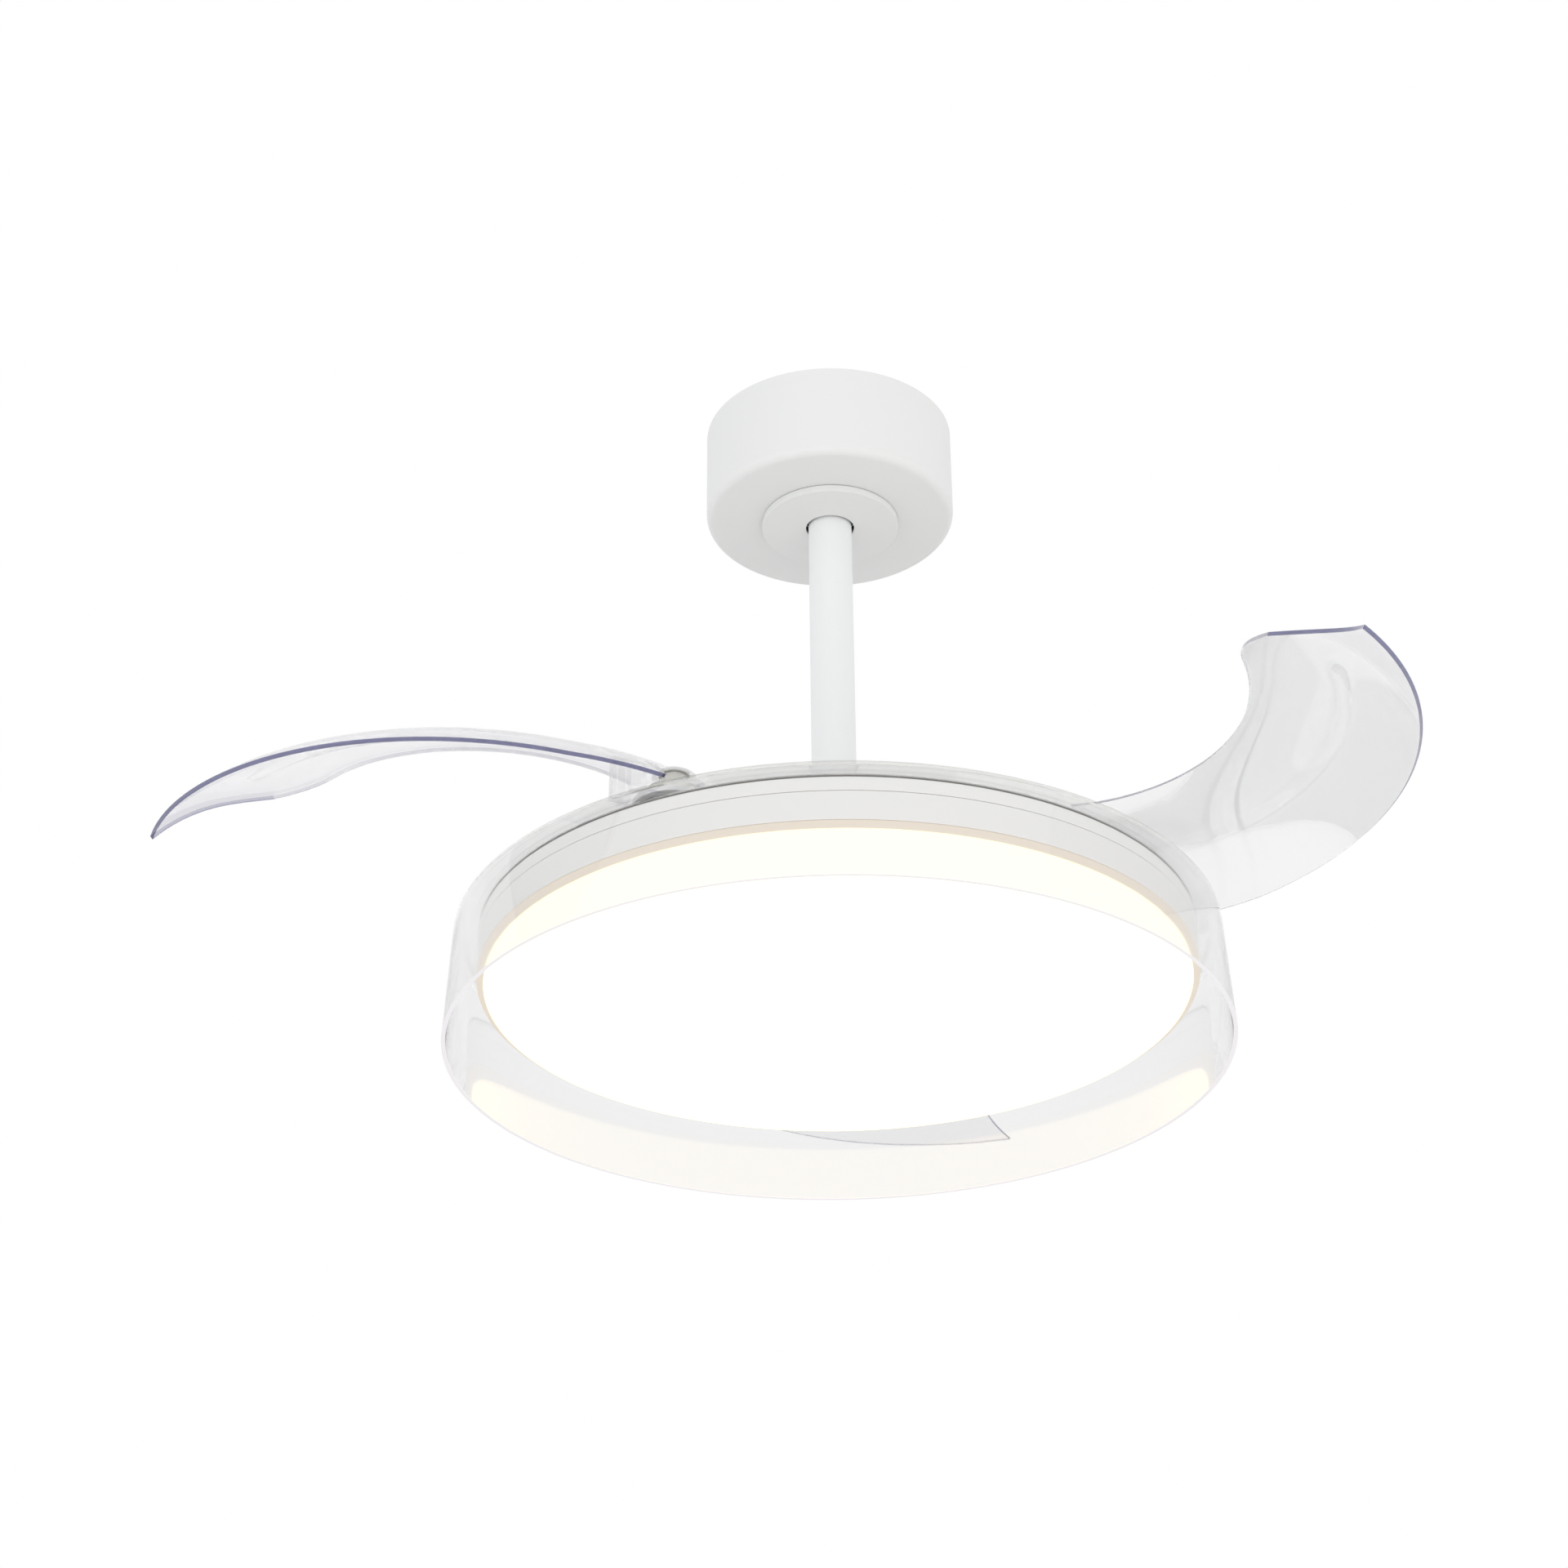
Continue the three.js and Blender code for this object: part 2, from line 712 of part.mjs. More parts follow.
// The pot over the motor; its foot and the motor's flange are screwed to the carrier together.
function rotorCover() {
  const wall = coverWall;
  const inset = coverShoulderWidth;
  const drop = coverShoulderDrop;
  const foot = motorRadius + fitGap;
  const shell = turned([
    [foot, coverBottomZ],
    [coverRadius, coverBottomZ],
    [coverRadius, coverTopZ - drop],
    [coverRadius - inset, coverTopZ],
    [coverHoleRadius, coverTopZ],
    [coverHoleRadius, coverTopZ - wall],
    [coverRadius - inset - wall / 2, coverTopZ - wall],
    [coverRadius - wall, coverTopZ - drop - wall / 2],
    [coverRadius - wall, coverBottomZ + wall],
    [foot, coverBottomZ + wall],
  ]);
  const hole = screwHole(coverBottomZ, coverBottomZ + wall).translate([rotorScrewRadius, 0, 0]);
  return cut(shell, ...aroundAxis(hole));
}

function rotorScrew() {
  const end = coverBottomZ + coverWall + screwBeyond;
  return screwUp(carrierBottomZ - fitGap / 2, end).translate([rotorScrewRadius, 0, 0]);
}

// ---- Carrier and the gears that make the blades open together ---------------------------------

function atPivot(solid) {
  return solid.translate([pivotRadius, 0, 0]);
}

function atKeeper(solid) {
  return solid.translate([keeperPitchRadius, 0, 0]).rotate([0, 0, 180 / bladeCount]);
}

function bladeCarrier() {
  const neck = { x: pivotRadius - carrierRadius + 10, y: lugNeckWidth, z: carrierThickness };
  const lug = joined(
    atPivot(rod(lugRadius, carrierBottomZ, carrierTopZ)),
    block(neck, pivotRadius - neck.x / 2, 0, carrierBottomZ),
  );
  const pinHole = rod(pivotFootRadius + fitGap, carrierBottomZ - 1, carrierTopZ + 1);
  const hole = screwHole(carrierBottomZ, carrierTopZ);
  return cut(
    joined(tube(carrierRadius, carrierBore, carrierBottomZ, carrierTopZ, roundSides), ...aroundAxis(lug)),
    ...aroundAxis(atPivot(pinHole)),
    ...aroundAxis(atKeeper(hole)),
    ...aroundAxis(hole.translate([rotorScrewRadius, 0, 0])),
  );
}

function involute(angle) {
  return Math.tan(angle) - angle;
}

// Outline of one tooth that points along X, its foot sunk a little into the gear's rim.
function toothOutline(teeth) {
  const pitchRadius = (gearModule * teeth) / 2;
  const rootRadius = pitchRadius - gearModule * toothDedendum;
  const tipRadius = pitchRadius + gearModule * toothAddendum;
  const baseRadius = pitchRadius * Math.cos(pressureAngle);
  const halfThickness = Math.PI / (2 * teeth) - toothBacklash / (4 * pitchRadius);
  const start = Math.max(baseRadius, rootRadius);
  const flank = [0, 0.5, 1].map((share) => {
    const radius = start + (tipRadius - start) * share;
    const slip = involute(Math.acos(baseRadius / radius));
    return [radius, halfThickness + involute(pressureAngle) - slip];
  });
  const left = [[rootRadius - 1, flank[0][1]], ...flank];
  const right = left.map(([radius, angle]) => [radius, -angle]);
  return [...right, ...left.reverse()].map(
    ([radius, angle]) => [radius * Math.cos(angle), radius * Math.sin(angle)],
  );
}

function teethAt(azimuths, teeth) {
  const tooth = prism(toothOutline(teeth), gearBottomZ, gearTopZ);
  return azimuths.map((azimuth) => tooth.rotate([0, 0, azimuth]));
}

// Teeth only where the three pinions run on the ring.
function syncRing() {
  const toothPitch = fullTurn / syncRingTeeth;
  const travel = bladeSwing * (pinionTeeth / syncRingTeeth);
  const azimuths = [];
  for (let tooth = -Math.ceil(travel / toothPitch) - 2; tooth <= 2; tooth += 1) {
    azimuths.push(tooth * toothPitch);
  }
  const rimRadius = syncPitchRadius - gearModule * toothDedendum;
  const rim = tube(rimRadius, syncRingInnerRadius, gearBottomZ, gearTopZ, roundSides);
  return joined(rim, ...aroundAxis(joined(...teethAt(azimuths, syncRingTeeth))));
}

function pinionAzimuths() {
  const toothPitch = fullTurn / pinionTeeth;
  const azimuths = [];
  for (let tooth = -1.5; tooth * toothPitch < bladeSwing + toothPitch; tooth += 1) {
    azimuths.push(180 + tooth * toothPitch);
  }
  return azimuths;
}

// Toothed sector on a blade's boss, with the blade open and a tooth space facing the axis.
function bladePinion() {
  const rimRadius = pinionPitchRadius - gearModule * toothDedendum;
  const rim = tube(rimRadius, bossRadius + fitGap, gearBottomZ, gearTopZ, pinSides);
  return joined(rim, ...teethAt(pinionAzimuths(), pinionTeeth));
}

// Curved rubber block on the lug; the toothed sector's two ends stop against it.
function stopBlock() {
  const azimuths = pinionAzimuths();
  const halfTooth = 90 / pinionTeeth + degrees(involute(pressureAngle));
  const from = azimuths[azimuths.length - 1] + halfTooth + stopAngleGap;
  const to = azimuths[0] - halfTooth - bladeSwing - stopAngleGap + fullTurn;
  const inner = pinionPitchRadius - gearModule * toothDedendum + fitGap;
  return arcBand(inner, inner + stopWidth, from, to, gearBottomZ, gearTopZ - seatGap, 7);
}

// Mushroom-shaped pin that keeps the ring round the axis and down on the carrier.
function ringKeeper() {
  const headBottom = gearTopZ + seatGap;
  return turned([
    [0, carrierBottomZ],
    [screwRadius, carrierBottomZ],
    [screwRadius, gearBottomZ],
    [keeperPostRadius, gearBottomZ],
    [keeperPostRadius, headBottom],
    [keeperHeadRadius, headBottom],
    [keeperHeadRadius, headBottom + keeperHeadHeight],
    [0, headBottom + keeperHeadHeight],
  ], screwSides + 2);
}

// Shouldered pin: a foot riveted into the lug, a journal and a flat head.
function pivotPin() {
  const headBottom = bossTopZ + seatGap;
  return turned([
    [0, carrierBottomZ],
    [pivotFootRadius, carrierBottomZ],
    [pivotFootRadius, gearBottomZ],
    [pivotPinRadius, gearBottomZ],
    [pivotPinRadius, headBottom],
    [pivotHeadRadius, headBottom],
    [pivotHeadRadius, headBottom + pivotHeadHeight],
    [0, headBottom + pivotHeadHeight],
  ], pinSides);
}

function pivotBush() {
  return tube(bossBore - fitGap, pivotPinRadius + runningGap, gearBottomZ + seatGap, bossTopZ, pinSides);
}

// Coil round the boss that pulls the blade in.
function returnSpring() {
  const stepsPerTurn = 12;
  const radius = bossRadius + springClearance + springWire / 2;
  const low = gearTopZ + seatGap + springWire / 2;
  const points = [];
  for (let i = 0; i <= springTurns * stepsPerTurn; i += 1) {
    const [x, y] = polar(radius, (fullTurn * i) / stepsPerTurn);
    points.push(new THREE.Vector3(x, y, low + (springPitch * i) / stepsPerTurn));
  }
  const sides = 5;
  const outline = [];
  for (let i = 0; i < sides; i += 1) {
    outline.push(new THREE.Vector2(...polar(springWire / 2, (fullTurn * i) / sides)));
  }
  return toSolid(new THREE.ExtrudeGeometry(new THREE.Shape(outline), {
    steps: springTurns * stepsPerTurn,
    extrudePath: new THREE.CatmullRomCurve3(points),
    bevelEnabled: false,
  }));
}

// ---- Blades ---------------------------------------------------------------------------------

function between(start, end, share) {
  return start + (end - start) * share;
}

// A point of the folded blade's middle surface, with the fan's axis as the origin.
// along runs from root to tip, across from the outer edge to the inner edge.
function bladePoint(along, across) {
  const nearTip = Math.max(0, (along - tipRoundingFrom) / (1 - tipRoundingFrom));
  const reach = across * (1 - tipRoundingShare * nearTip ** tipRoundingPower);
  const bulge = (27 / 4) * reach * (1 - reach) ** 2;
  const place = along - tipCutBack * bulge * nearTip ** 2;
  const outer = polar(bladeOuterRadius, between(bladeOuterFrom, bladeOuterTo, place));
  const inner = polar(bladeInnerRadius, between(bladeInnerFrom, bladeInnerTo, place));
  const climb = Math.max(0, (place - bladeOuterLevel) / (1 - bladeOuterLevel));
  const outerZ = between(outerRiseAtRoot, outerRiseAtTip, climb);
  const innerZ = between(innerRiseAtRoot, innerRiseAtTip, place * place);
  const fade = Math.max(0, (along - camberFadesFrom) / (1 - camberFadesFrom));
  const camber = between(camberAtRoot, camberAtTip, place) * between(1, camberLeftAtTip, fade ** 2);
  return new THREE.Vector3(
    between(outer[0], inner[0] + bladeInnerCentreX, reach),
    between(outer[1], inner[1] + bladeInnerCentreY, reach),
    flangeTopZ + between(outerZ, innerZ, reach) + camber * bulge,
  );
}

function bladeNormal(along, across) {
  const step = 1e-3;
  const inside = (value) => Math.min(1, Math.max(0, value));
  const alongWay = bladePoint(inside(along + step), across)
    .sub(bladePoint(inside(along - step), across));
  const acrossWay = bladePoint(along, inside(across + step))
    .sub(bladePoint(along, inside(across - step)));
  const normal = alongWay.cross(acrossWay).normalize();
  return normal.z < 0 ? normal.negate() : normal;
}

// Closes the space between two grids of points with the given rows and columns.
function slab(upper, lower, rows, columns) {
  const positions = [...upper, ...lower].flatMap((point) => point.toArray());
  const corners = [];
  const quad = (a, b, c, d) => corners.push(a, b, c, a, c, d);
  const above = (row, column) => row * columns + column;
  const below = (row, column) => rows * columns + row * columns + column;
  const lastRow = rows - 1;
  const lastColumn = columns - 1;
  for (let i = 0; i < lastRow; i += 1) {
    for (let j = 0; j < lastColumn; j += 1) {
      quad(above(i, j), above(i + 1, j), above(i + 1, j + 1), above(i, j + 1));
      quad(below(i, j), below(i, j + 1), below(i + 1, j + 1), below(i + 1, j));
    }
    quad(above(i, 0), below(i, 0), below(i + 1, 0), above(i + 1, 0));
    quad(above(i + 1, lastColumn), below(i + 1, lastColumn), below(i, lastColumn), above(i, lastColumn));
  }
  for (let j = 0; j < lastColumn; j += 1) {
    quad(above(0, j + 1), below(0, j + 1), below(0, j), above(0, j));
    quad(above(lastRow, j), below(lastRow, j), below(lastRow, j + 1), above(lastRow, j + 1));
  }
  const geometry = new THREE.BufferGeometry();
  geometry.setAttribute('position', new THREE.BufferAttribute(new Float32Array(positions), 3));
  geometry.setIndex(corners);
  return toSolid(geometry);
}

// The blade's grid is closer near the tip, where its end is rounded.
function bladeGrid(place) {
  const points = [];
  for (let i = 0; i <= bladeSteps.along; i += 1) {
    const along = 1 - (1 - i / bladeSteps.along) ** 1.3;
    for (let j = 0; j <= bladeSteps.across; j += 1) {
      points.push(place(along, j / bladeSteps.across));
    }
  }
  return points;
}

function bladeSlab(upper, lower) {
  return slab(bladeGrid(upper), bladeGrid(lower), bladeSteps.along + 1, bladeSteps.across + 1);
}

function bladePlate() {
  const offset = (distance) => (along, across) => bladePoint(along, across)
    .addScaledVector(bladeNormal(along, across), distance);
  return bladeSlab(offset(bladeThickness / 2), offset(-bladeThickness / 2));
}

// Everything straight below the blade's middle surface, down to the shade's top face.
function spaceUnderBlade() {
  return bladeSlab(bladePoint, (along, across) => bladePoint(along, across).setZ(flangeTopZ));
}

// The half-round stiffening rib under the blade.
function bladeRib() {
  const rows = 11;
  const columns = 5;
  const upper = [];
  const lower = [];
  for (let i = 0; i < rows; i += 1) {
    const azimuth = bladeRibFrom + ((bladeRibTo - bladeRibFrom) * i) / (rows - 1);
    const along = (azimuth - bladeOuterFrom) / (bladeOuterTo - bladeOuterFrom);
    const width = bladePoint(along, 1).sub(bladePoint(along, 0)).setZ(0).length();
    for (let j = 0; j < columns; j += 1) {
      const side = -1 + (2 * j) / (columns - 1);
      const across = (bladeOuterRadius - bladeRibRadius - side * bladeRibHalfWidth) / width;
      const depth = bladeThickness / 2 + bladeRibDepth * Math.sqrt(Math.max(0.02, 1 - side * side));
      const point = bladePoint(along, across);
      upper.push(point.clone());
      lower.push(point.addScaledVector(bladeNormal(along, across), -depth));
    }
  }
  return slab(upper, lower, rows, columns);
}

// The wall that comes down from the blade's root beside its boss.
function bladeWeb() {
  const inner = webRadius - webThickness / 2;
  const outer = webRadius + webThickness / 2;
  const top = bossTopZ + innerRiseAtRoot;
  const foot = arcBand(inner, outer, webTo, webFrom, carrierBottomZ - webBelowCarrier, top, 2);
  const arm = arcBand(inner, outer, webFrom - webOverlap, webNearBoss, gearTopZ + webOverGears, top, 2);
  return joined(foot, arm).intersect(spaceUnderBlade());
}

function foldedBlade() {
  const boss = rod(bossRadius, gearBottomZ, bossTopZ, pinSides);
  const well = rod(pivotHeadRadius + bladeWellMargin, bossTopZ, bossTopZ + innerRiseAtRoot);
  const bore = rod(bossBore, gearBottomZ - 1, bossTopZ + 1);
  return cut(joined(bladePlate(), bladeRib(), bladeWeb(), atPivot(boss)), atPivot(well), atPivot(bore));
}

function openBlade() {
  const folded = foldedBlade().translate([-pivotRadius, 0, 0]);
  return atPivot(folded.rotate([0, 0, bladeSwing]));
}

// ---- Lamp and shade -------------------------------------------------------------------------

function lampPlate() {
  return tube(lampPlateRadius, shaftRadius + fitGap, lampPlateBottomZ, lampPlateTopZ);
}

function lampNut() {
  const hexagon = rod(shaftRadius + lampNutWall, lampNutTopZ - lampNutHeight, lampNutTopZ, 6);
  return cut(hexagon, rod(shaftRadius + fitGap, lampNutTopZ - lampNutHeight - 1, lampNutTopZ + 1));
}

function lampPan() {
  const pan = turned([
    [shaftRadius + fitGap, panBottomZ],
    [lampRadius - lampSheet, panBottomZ],
    [lampRadius - lampSheet, panTopZ - lampPanSkirt],
    [lampRadius, panTopZ - lampPanSkirt],
    [lampRadius, panTopZ - lampPanEdge],
    [lampRadius - lampPanEdge, panTopZ],
    [shaftRadius + fitGap, panTopZ],
  ], roundSides);
  const hole = screwHole(panBottomZ, panTopZ).translate([shadeScrewRadius, 0, 0]);
  return cut(pan, ...aroundAxis(hole));
}

function lampRing() {
  return tube(lampRadius, lampRadius - lampSheet, ringBottomZ, ringTopZ, roundSides);
}

// A shallow dish: its bevel closes the ring from below and its collar stands inside the ring.
function lampDiffuser() {
  const inner = collarRadius - diffuserWall;
  const floor = diffuserFaceZ + diffuserWall;
  return turned([
    [0, diffuserFaceZ],
    [lampRadius - diffuserBevelWidth, diffuserFaceZ],
    [lampRadius, diffuserFaceZ + diffuserBevelHeight],
    [collarRadius, diffuserFaceZ + diffuserBevelHeight],
    [collarRadius, diffuserTopZ],
    [inner, diffuserTopZ],
    [inner, floor],
    [0, floor],
  ], roundSides);
}

function ledBoard() {
  const top = panBottomZ - seatGap;
  return tube(shadeScrewRadius - ledBoardMargin, ledBoardInnerRadius, top - ledBoardThickness, top);
}

function ledDriver() {
  const size = { x: ledDriverWidth, y: ledDriverLength, z: ledDriverHeight };
  return block(size, ledDriverOffset, 0, panBottomZ - seatGap - size.z);
}

// A flared wall with a rounded top corner and an inward flange that lies on the lamp's pan, with
// a groove in its underside for the seal.
function clearShade() {
  const wall = shadeWall;
  const edge = shadeCorner;
  const shell = turned([
    [shadeRimRadius - wall, shadeRimEdge],
    [shadeRimRadius - wall / 2, 0],
    [shadeRimRadius, shadeRimEdge],
    [shadeTopRadius, flangeTopZ - edge],
    ...corner(shadeTopRadius - edge, flangeTopZ - edge, edge, 0, 90, 2),
    [shadeFlangeInnerRadius, flangeTopZ],
    [shadeFlangeInnerRadius, flangeBottomZ],
    [sealInnerRadius - seatGap, flangeBottomZ],
    [sealInnerRadius - seatGap, sealTopZ + seatGap],
    [sealOuterRadius + seatGap, sealTopZ + seatGap],
    [sealOuterRadius + seatGap, flangeBottomZ],
    [shadeTopRadius - wall, flangeBottomZ],
  ], roundSides);
  const seat = joined(
    screwHole(flangeBottomZ, flangeTopZ),
    rod(screwHeadRadius + fitGap, shadeScrewSeatZ, flangeTopZ + 1),
  );
  return cut(shell, ...aroundAxis(seat.translate([shadeScrewRadius, 0, 0])));
}

// The soft ring that shows as a dark line along the lamp's top edge.
function shadeSeal() {
  return tube(sealOuterRadius, sealInnerRadius, flangeBottomZ, sealTopZ, roundSides);
}

function shadeScrew() {
  const screw = screwDown(shadeScrewSeatZ + fitGap / 2, panBottomZ - screwBeyond);
  return screw.translate([shadeScrewRadius, 0, 0]);
}

// ---- The whole fan --------------------------------------------------------------------------

const finishes = {
  whitePaint: { color: 0xe9e9e7, roughness: 0.5, metalness: 0 },
  whiteCasing: { color: 0xf0eeea, roughness: 0.5, metalness: 0 },
  clearPlastic: { color: 0xdfe3e8, roughness: 0.1, metalness: 0 },
  opalPlastic: { color: 0xfdf8ea, roughness: 0.6, metalness: 0 },
  whitePlastic: { color: 0xe2dfd6, roughness: 0.5, metalness: 0 },
  blackRubber: { color: 0x26272a, roughness: 0.85, metalness: 0 },
  greyRubber: { color: 0x8f8c86, roughness: 0.85, metalness: 0 },
  zincSteel: { color: 0xc3c7c8, roughness: 0.4, metalness: 1 },
  brightSteel: { color: 0xb4b8bc, roughness: 0.3, metalness: 1 },
  castAluminium: { color: 0xc9cbcd, roughness: 0.45, metalness: 1 },
  coreSteel: { color: 0x70757b, roughness: 0.5, metalness: 1 },
  copperWire: { color: 0xb8693c, roughness: 0.4, metalness: 1 },
  ferrite: { color: 0x3a3c40, roughness: 0.7, metalness: 0 },
};

const fan = new THREE.Group();
fan.position.z = -overallDrop;

const rotor = new THREE.Group();
rotor.rotation.z = turn(firstBladeAzimuth);
fan.add(rotor);

function piece(name, solid, finish, parent = fan) {
  const mesh = new THREE.Mesh(toGeometry(solid), new THREE.MeshStandardMaterial(finishes[finish]));
  mesh.name = name;
  parent.add(mesh);
}

function pieces(name, solids, finish, parent = fan) {
  solids.forEach((solid, i) => piece(`${name}_${i + 1}`, solid, finish, parent));
}

function addCeilingFixing() {
  piece('ceiling_bracket', ceilingBracket(), 'zincSteel');
  piece('canopy_shell', canopyShell(), 'whitePaint');
  piece('canopy_trim', canopyTrim(), 'whitePaint');
  pieces('canopy_screw', bothSides(canopyScrew(), canopyScrewX), 'brightSteel');
  piece('receiver_box', receiverBox(), 'whitePlastic');
  piece('terminal_block', terminalBlock(), 'whitePlastic');
}

function addRod() {
  piece('hanger_ball', hangerBall(), 'blackRubber');
  piece('hanger_pin', hangerPin(), 'brightSteel');
  piece('downrod', downrod(), 'whitePaint');
  piece('rod_coupler', rodCoupler(), 'zincSteel');
  piece('coupler_pin', couplerPin(), 'brightSteel');
  piece('coupler_cover', couplerCover(), 'whiteCasing');
}

function addMotor() {
  piece('motor_shaft', motorShaft(), 'brightSteel');
  piece('stator_core', statorCore(), 'coreSteel');
  piece('stator_winding', statorWinding(), 'copperWire');
  piece('lower_bearing', bearing(lowerBearingZ), 'brightSteel');
  piece('upper_bearing', bearing(upperBearingZ), 'brightSteel');
  piece('motor_housing', motorHousing(), 'castAluminium', rotor);
  piece('motor_lid', motorLid(), 'castAluminium', rotor);
  piece('magnet_ring', magnetRing(), 'ferrite', rotor);
  piece('rotor_cover', rotorCover(), 'whiteCasing', rotor);
  pieces('rotor_screw', aroundAxis(rotorScrew()), 'brightSteel', rotor);
}

function addBlades() {
  piece('blade_carrier', bladeCarrier(), 'castAluminium', rotor);
  piece('sync_ring', syncRing(), 'whitePlastic', rotor);
  pieces('ring_keeper', aroundAxis(atKeeper(ringKeeper())), 'zincSteel', rotor);
  pieces('pivot_pin', aroundAxis(atPivot(pivotPin())), 'brightSteel', rotor);
  pieces('stop_block', aroundAxis(atPivot(stopBlock())), 'whitePlastic', rotor);
  pieces('return_spring', aroundAxis(atPivot(returnSpring())), 'brightSteel', rotor);
  pieces('pivot_bush', aroundAxis(atPivot(pivotBush())), 'whitePlastic', rotor);
  pieces('blade_pinion', aroundAxis(atPivot(bladePinion())), 'whitePlastic', rotor);
  pieces('blade', aroundAxis(openBlade()), 'clearPlastic', rotor);
}

function addLamp() {
  piece('lamp_plate', lampPlate(), 'zincSteel');
  piece('lamp_nut', lampNut(), 'zincSteel');
  piece('lamp_pan', lampPan(), 'whiteCasing');
  piece('lamp_ring', lampRing(), 'whiteCasing');
  piece('led_board', ledBoard(), 'castAluminium');
  piece('led_driver', ledDriver(), 'whitePlastic');
  piece('lamp_diffuser', lampDiffuser(), 'opalPlastic');
  piece('clear_shade', clearShade(), 'clearPlastic');
  piece('shade_seal', shadeSeal(), 'greyRubber');
  pieces('shade_screw', aroundAxis(shadeScrew()), 'brightSteel');
}

addCeilingFixing();
addRod();
addMotor();
addBlades();
addLamp();

export default fan;
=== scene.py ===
"""Dresses the retractable blade ceiling fan: clear blades and shade, white lamp, rod and canopy.

Lengths are written in millimetres and made in metres. Heights are counted from the shade's
bottom rim, which is the lowest point of the fan, and azimuths from the X axis.
"""

import json
import math
from types import SimpleNamespace

import bmesh
import bpy
from bpy.props import FloatProperty, FloatVectorProperty, IntProperty, PointerProperty
from mathutils import Matrix, Vector


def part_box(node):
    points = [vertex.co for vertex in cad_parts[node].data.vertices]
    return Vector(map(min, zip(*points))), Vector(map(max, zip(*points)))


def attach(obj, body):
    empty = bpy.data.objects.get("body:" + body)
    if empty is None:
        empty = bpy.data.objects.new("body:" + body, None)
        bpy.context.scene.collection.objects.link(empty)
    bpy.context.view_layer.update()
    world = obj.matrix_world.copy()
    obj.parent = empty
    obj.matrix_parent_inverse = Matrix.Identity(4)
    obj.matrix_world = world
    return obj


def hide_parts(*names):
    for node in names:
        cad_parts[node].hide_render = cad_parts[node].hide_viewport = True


bl_info = {
    "name": "Retractable Blade Ceiling Fan",
    "version": (1, 0, 0),
    "blender": (4, 5, 0),
    "location": "View3D > Sidebar > Ceiling Fan",
    "description": "Builds the visible pieces and finishes of a ceiling fan with folding clear blades",
    "category": "Add Mesh",
}

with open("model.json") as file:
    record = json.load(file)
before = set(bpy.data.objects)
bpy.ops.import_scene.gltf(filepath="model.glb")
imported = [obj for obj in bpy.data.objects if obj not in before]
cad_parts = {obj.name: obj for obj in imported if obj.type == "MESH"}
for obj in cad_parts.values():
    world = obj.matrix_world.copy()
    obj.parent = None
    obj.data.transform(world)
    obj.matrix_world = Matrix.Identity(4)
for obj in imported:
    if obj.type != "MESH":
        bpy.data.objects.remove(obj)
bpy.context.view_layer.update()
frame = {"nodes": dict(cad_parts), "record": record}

MM = 0.001
RIM_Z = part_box("clear_shade")[0][2]
FULL_TURN = 2 * math.pi
BLADES = 3
FIT_GAP = 0.3  # clearance in mm between pieces that are pushed together
BEVEL_SEGMENTS = 3
FACET_LIMIT = math.radians(20)  # a frame node is shaded sharp where its faces meet at more
CREASE = math.radians(40)  # a blade is shaded sharp where its faces meet at more


def rim_height(node, side):
    """Height in mm above the shade's rim of a frame node's lowest (0) or highest (1) point."""
    return round((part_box(node)[side][2] - RIM_Z) / MM, 3)


def node_radius(node):
    """Largest reach in mm from the fan's axis of a frame node that is centred on it."""
    return round(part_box(node)[1][0] / MM, 3)


SHADE_TOP = rim_height("clear_shade", 1)


# ---- Settings -------------------------------------------------------------------------------


def length(name, description, default):
    """A length that the panel shows in the scene's unit, its default given in mm."""
    return FloatProperty(name=name, description=description, default=default * MM, min=0.0,
                         unit="LENGTH", precision=4)


def angle(name, description, default):
    """An angle, its default given in degrees."""
    return FloatProperty(name=name, description=description, default=math.radians(default),
                         subtype="ANGLE", unit="ROTATION")


def amount(name, description, default, unit="NONE"):
    """A number that isn't a length or an angle."""
    return FloatProperty(name=name, description=description, default=default, min=0.0, unit=unit)


def in_mm(settings):
    """The values of a settings group with its lengths in mm, as the profiles use them."""
    values = {}
    for prop in settings.bl_rna.properties:
        if prop.type in ("FLOAT", "INT") and not prop.is_readonly:
            value = getattr(settings, prop.identifier)
            values[prop.identifier] = value / MM if prop.unit == "LENGTH" else value
    return SimpleNamespace(**values)


def colour(name, description, default):
    """A colour as linear red, green and blue."""
    return FloatVectorProperty(
        name=name, description=description, default=default, subtype="COLOR", size=3, min=0, max=1
    )


class FanHangingSettings(bpy.types.PropertyGroup):
    """Sizes of the canopy, its trim, the rod and the cover at the rod's lower end."""

    canopy_radius: length("Canopy radius", "Outside radius of the canopy", 76.8)
    canopy_bottom: length("Canopy underside", "Height of the canopy's underside", 362.0)
    canopy_wall: length("Canopy wall", "Sheet thickness of the canopy", 1.5)
    canopy_bend: length("Canopy bend", "Radius of the canopy's bottom edge", 5.0)
    canopy_hole: length("Canopy hole", "Radius of the hole round the trim's collar", 28.0)
    trim_radius: length("Trim radius", "Radius of the disc under the canopy", 42.3)
    trim_depth: length("Trim depth", "Height of the disc under the canopy", 4.5)
    trim_wall: length("Trim wall", "Sheet thickness of the disc and its collar", 1.8)
    trim_collar: length("Trim collar", "Outside radius of the disc's collar", 27.7)
    trim_hole: length("Trim hole", "Radius of the disc's hole for the rod", 14.9)
    rod_radius: length("Rod radius", "Outside radius of the downrod", 13.4)
    rod_wall: length("Rod wall", "Wall of the downrod", 2.0)
    cover_wall: length("Cover wall", "Sheet thickness of the cover on the coupler", 1.6)
    cover_bend: length("Cover bend", "Radius of the cover's top edge", 5.0)
    cover_hole: length("Cover hole", "Radius of the cover's hole for the rod", 13.7)


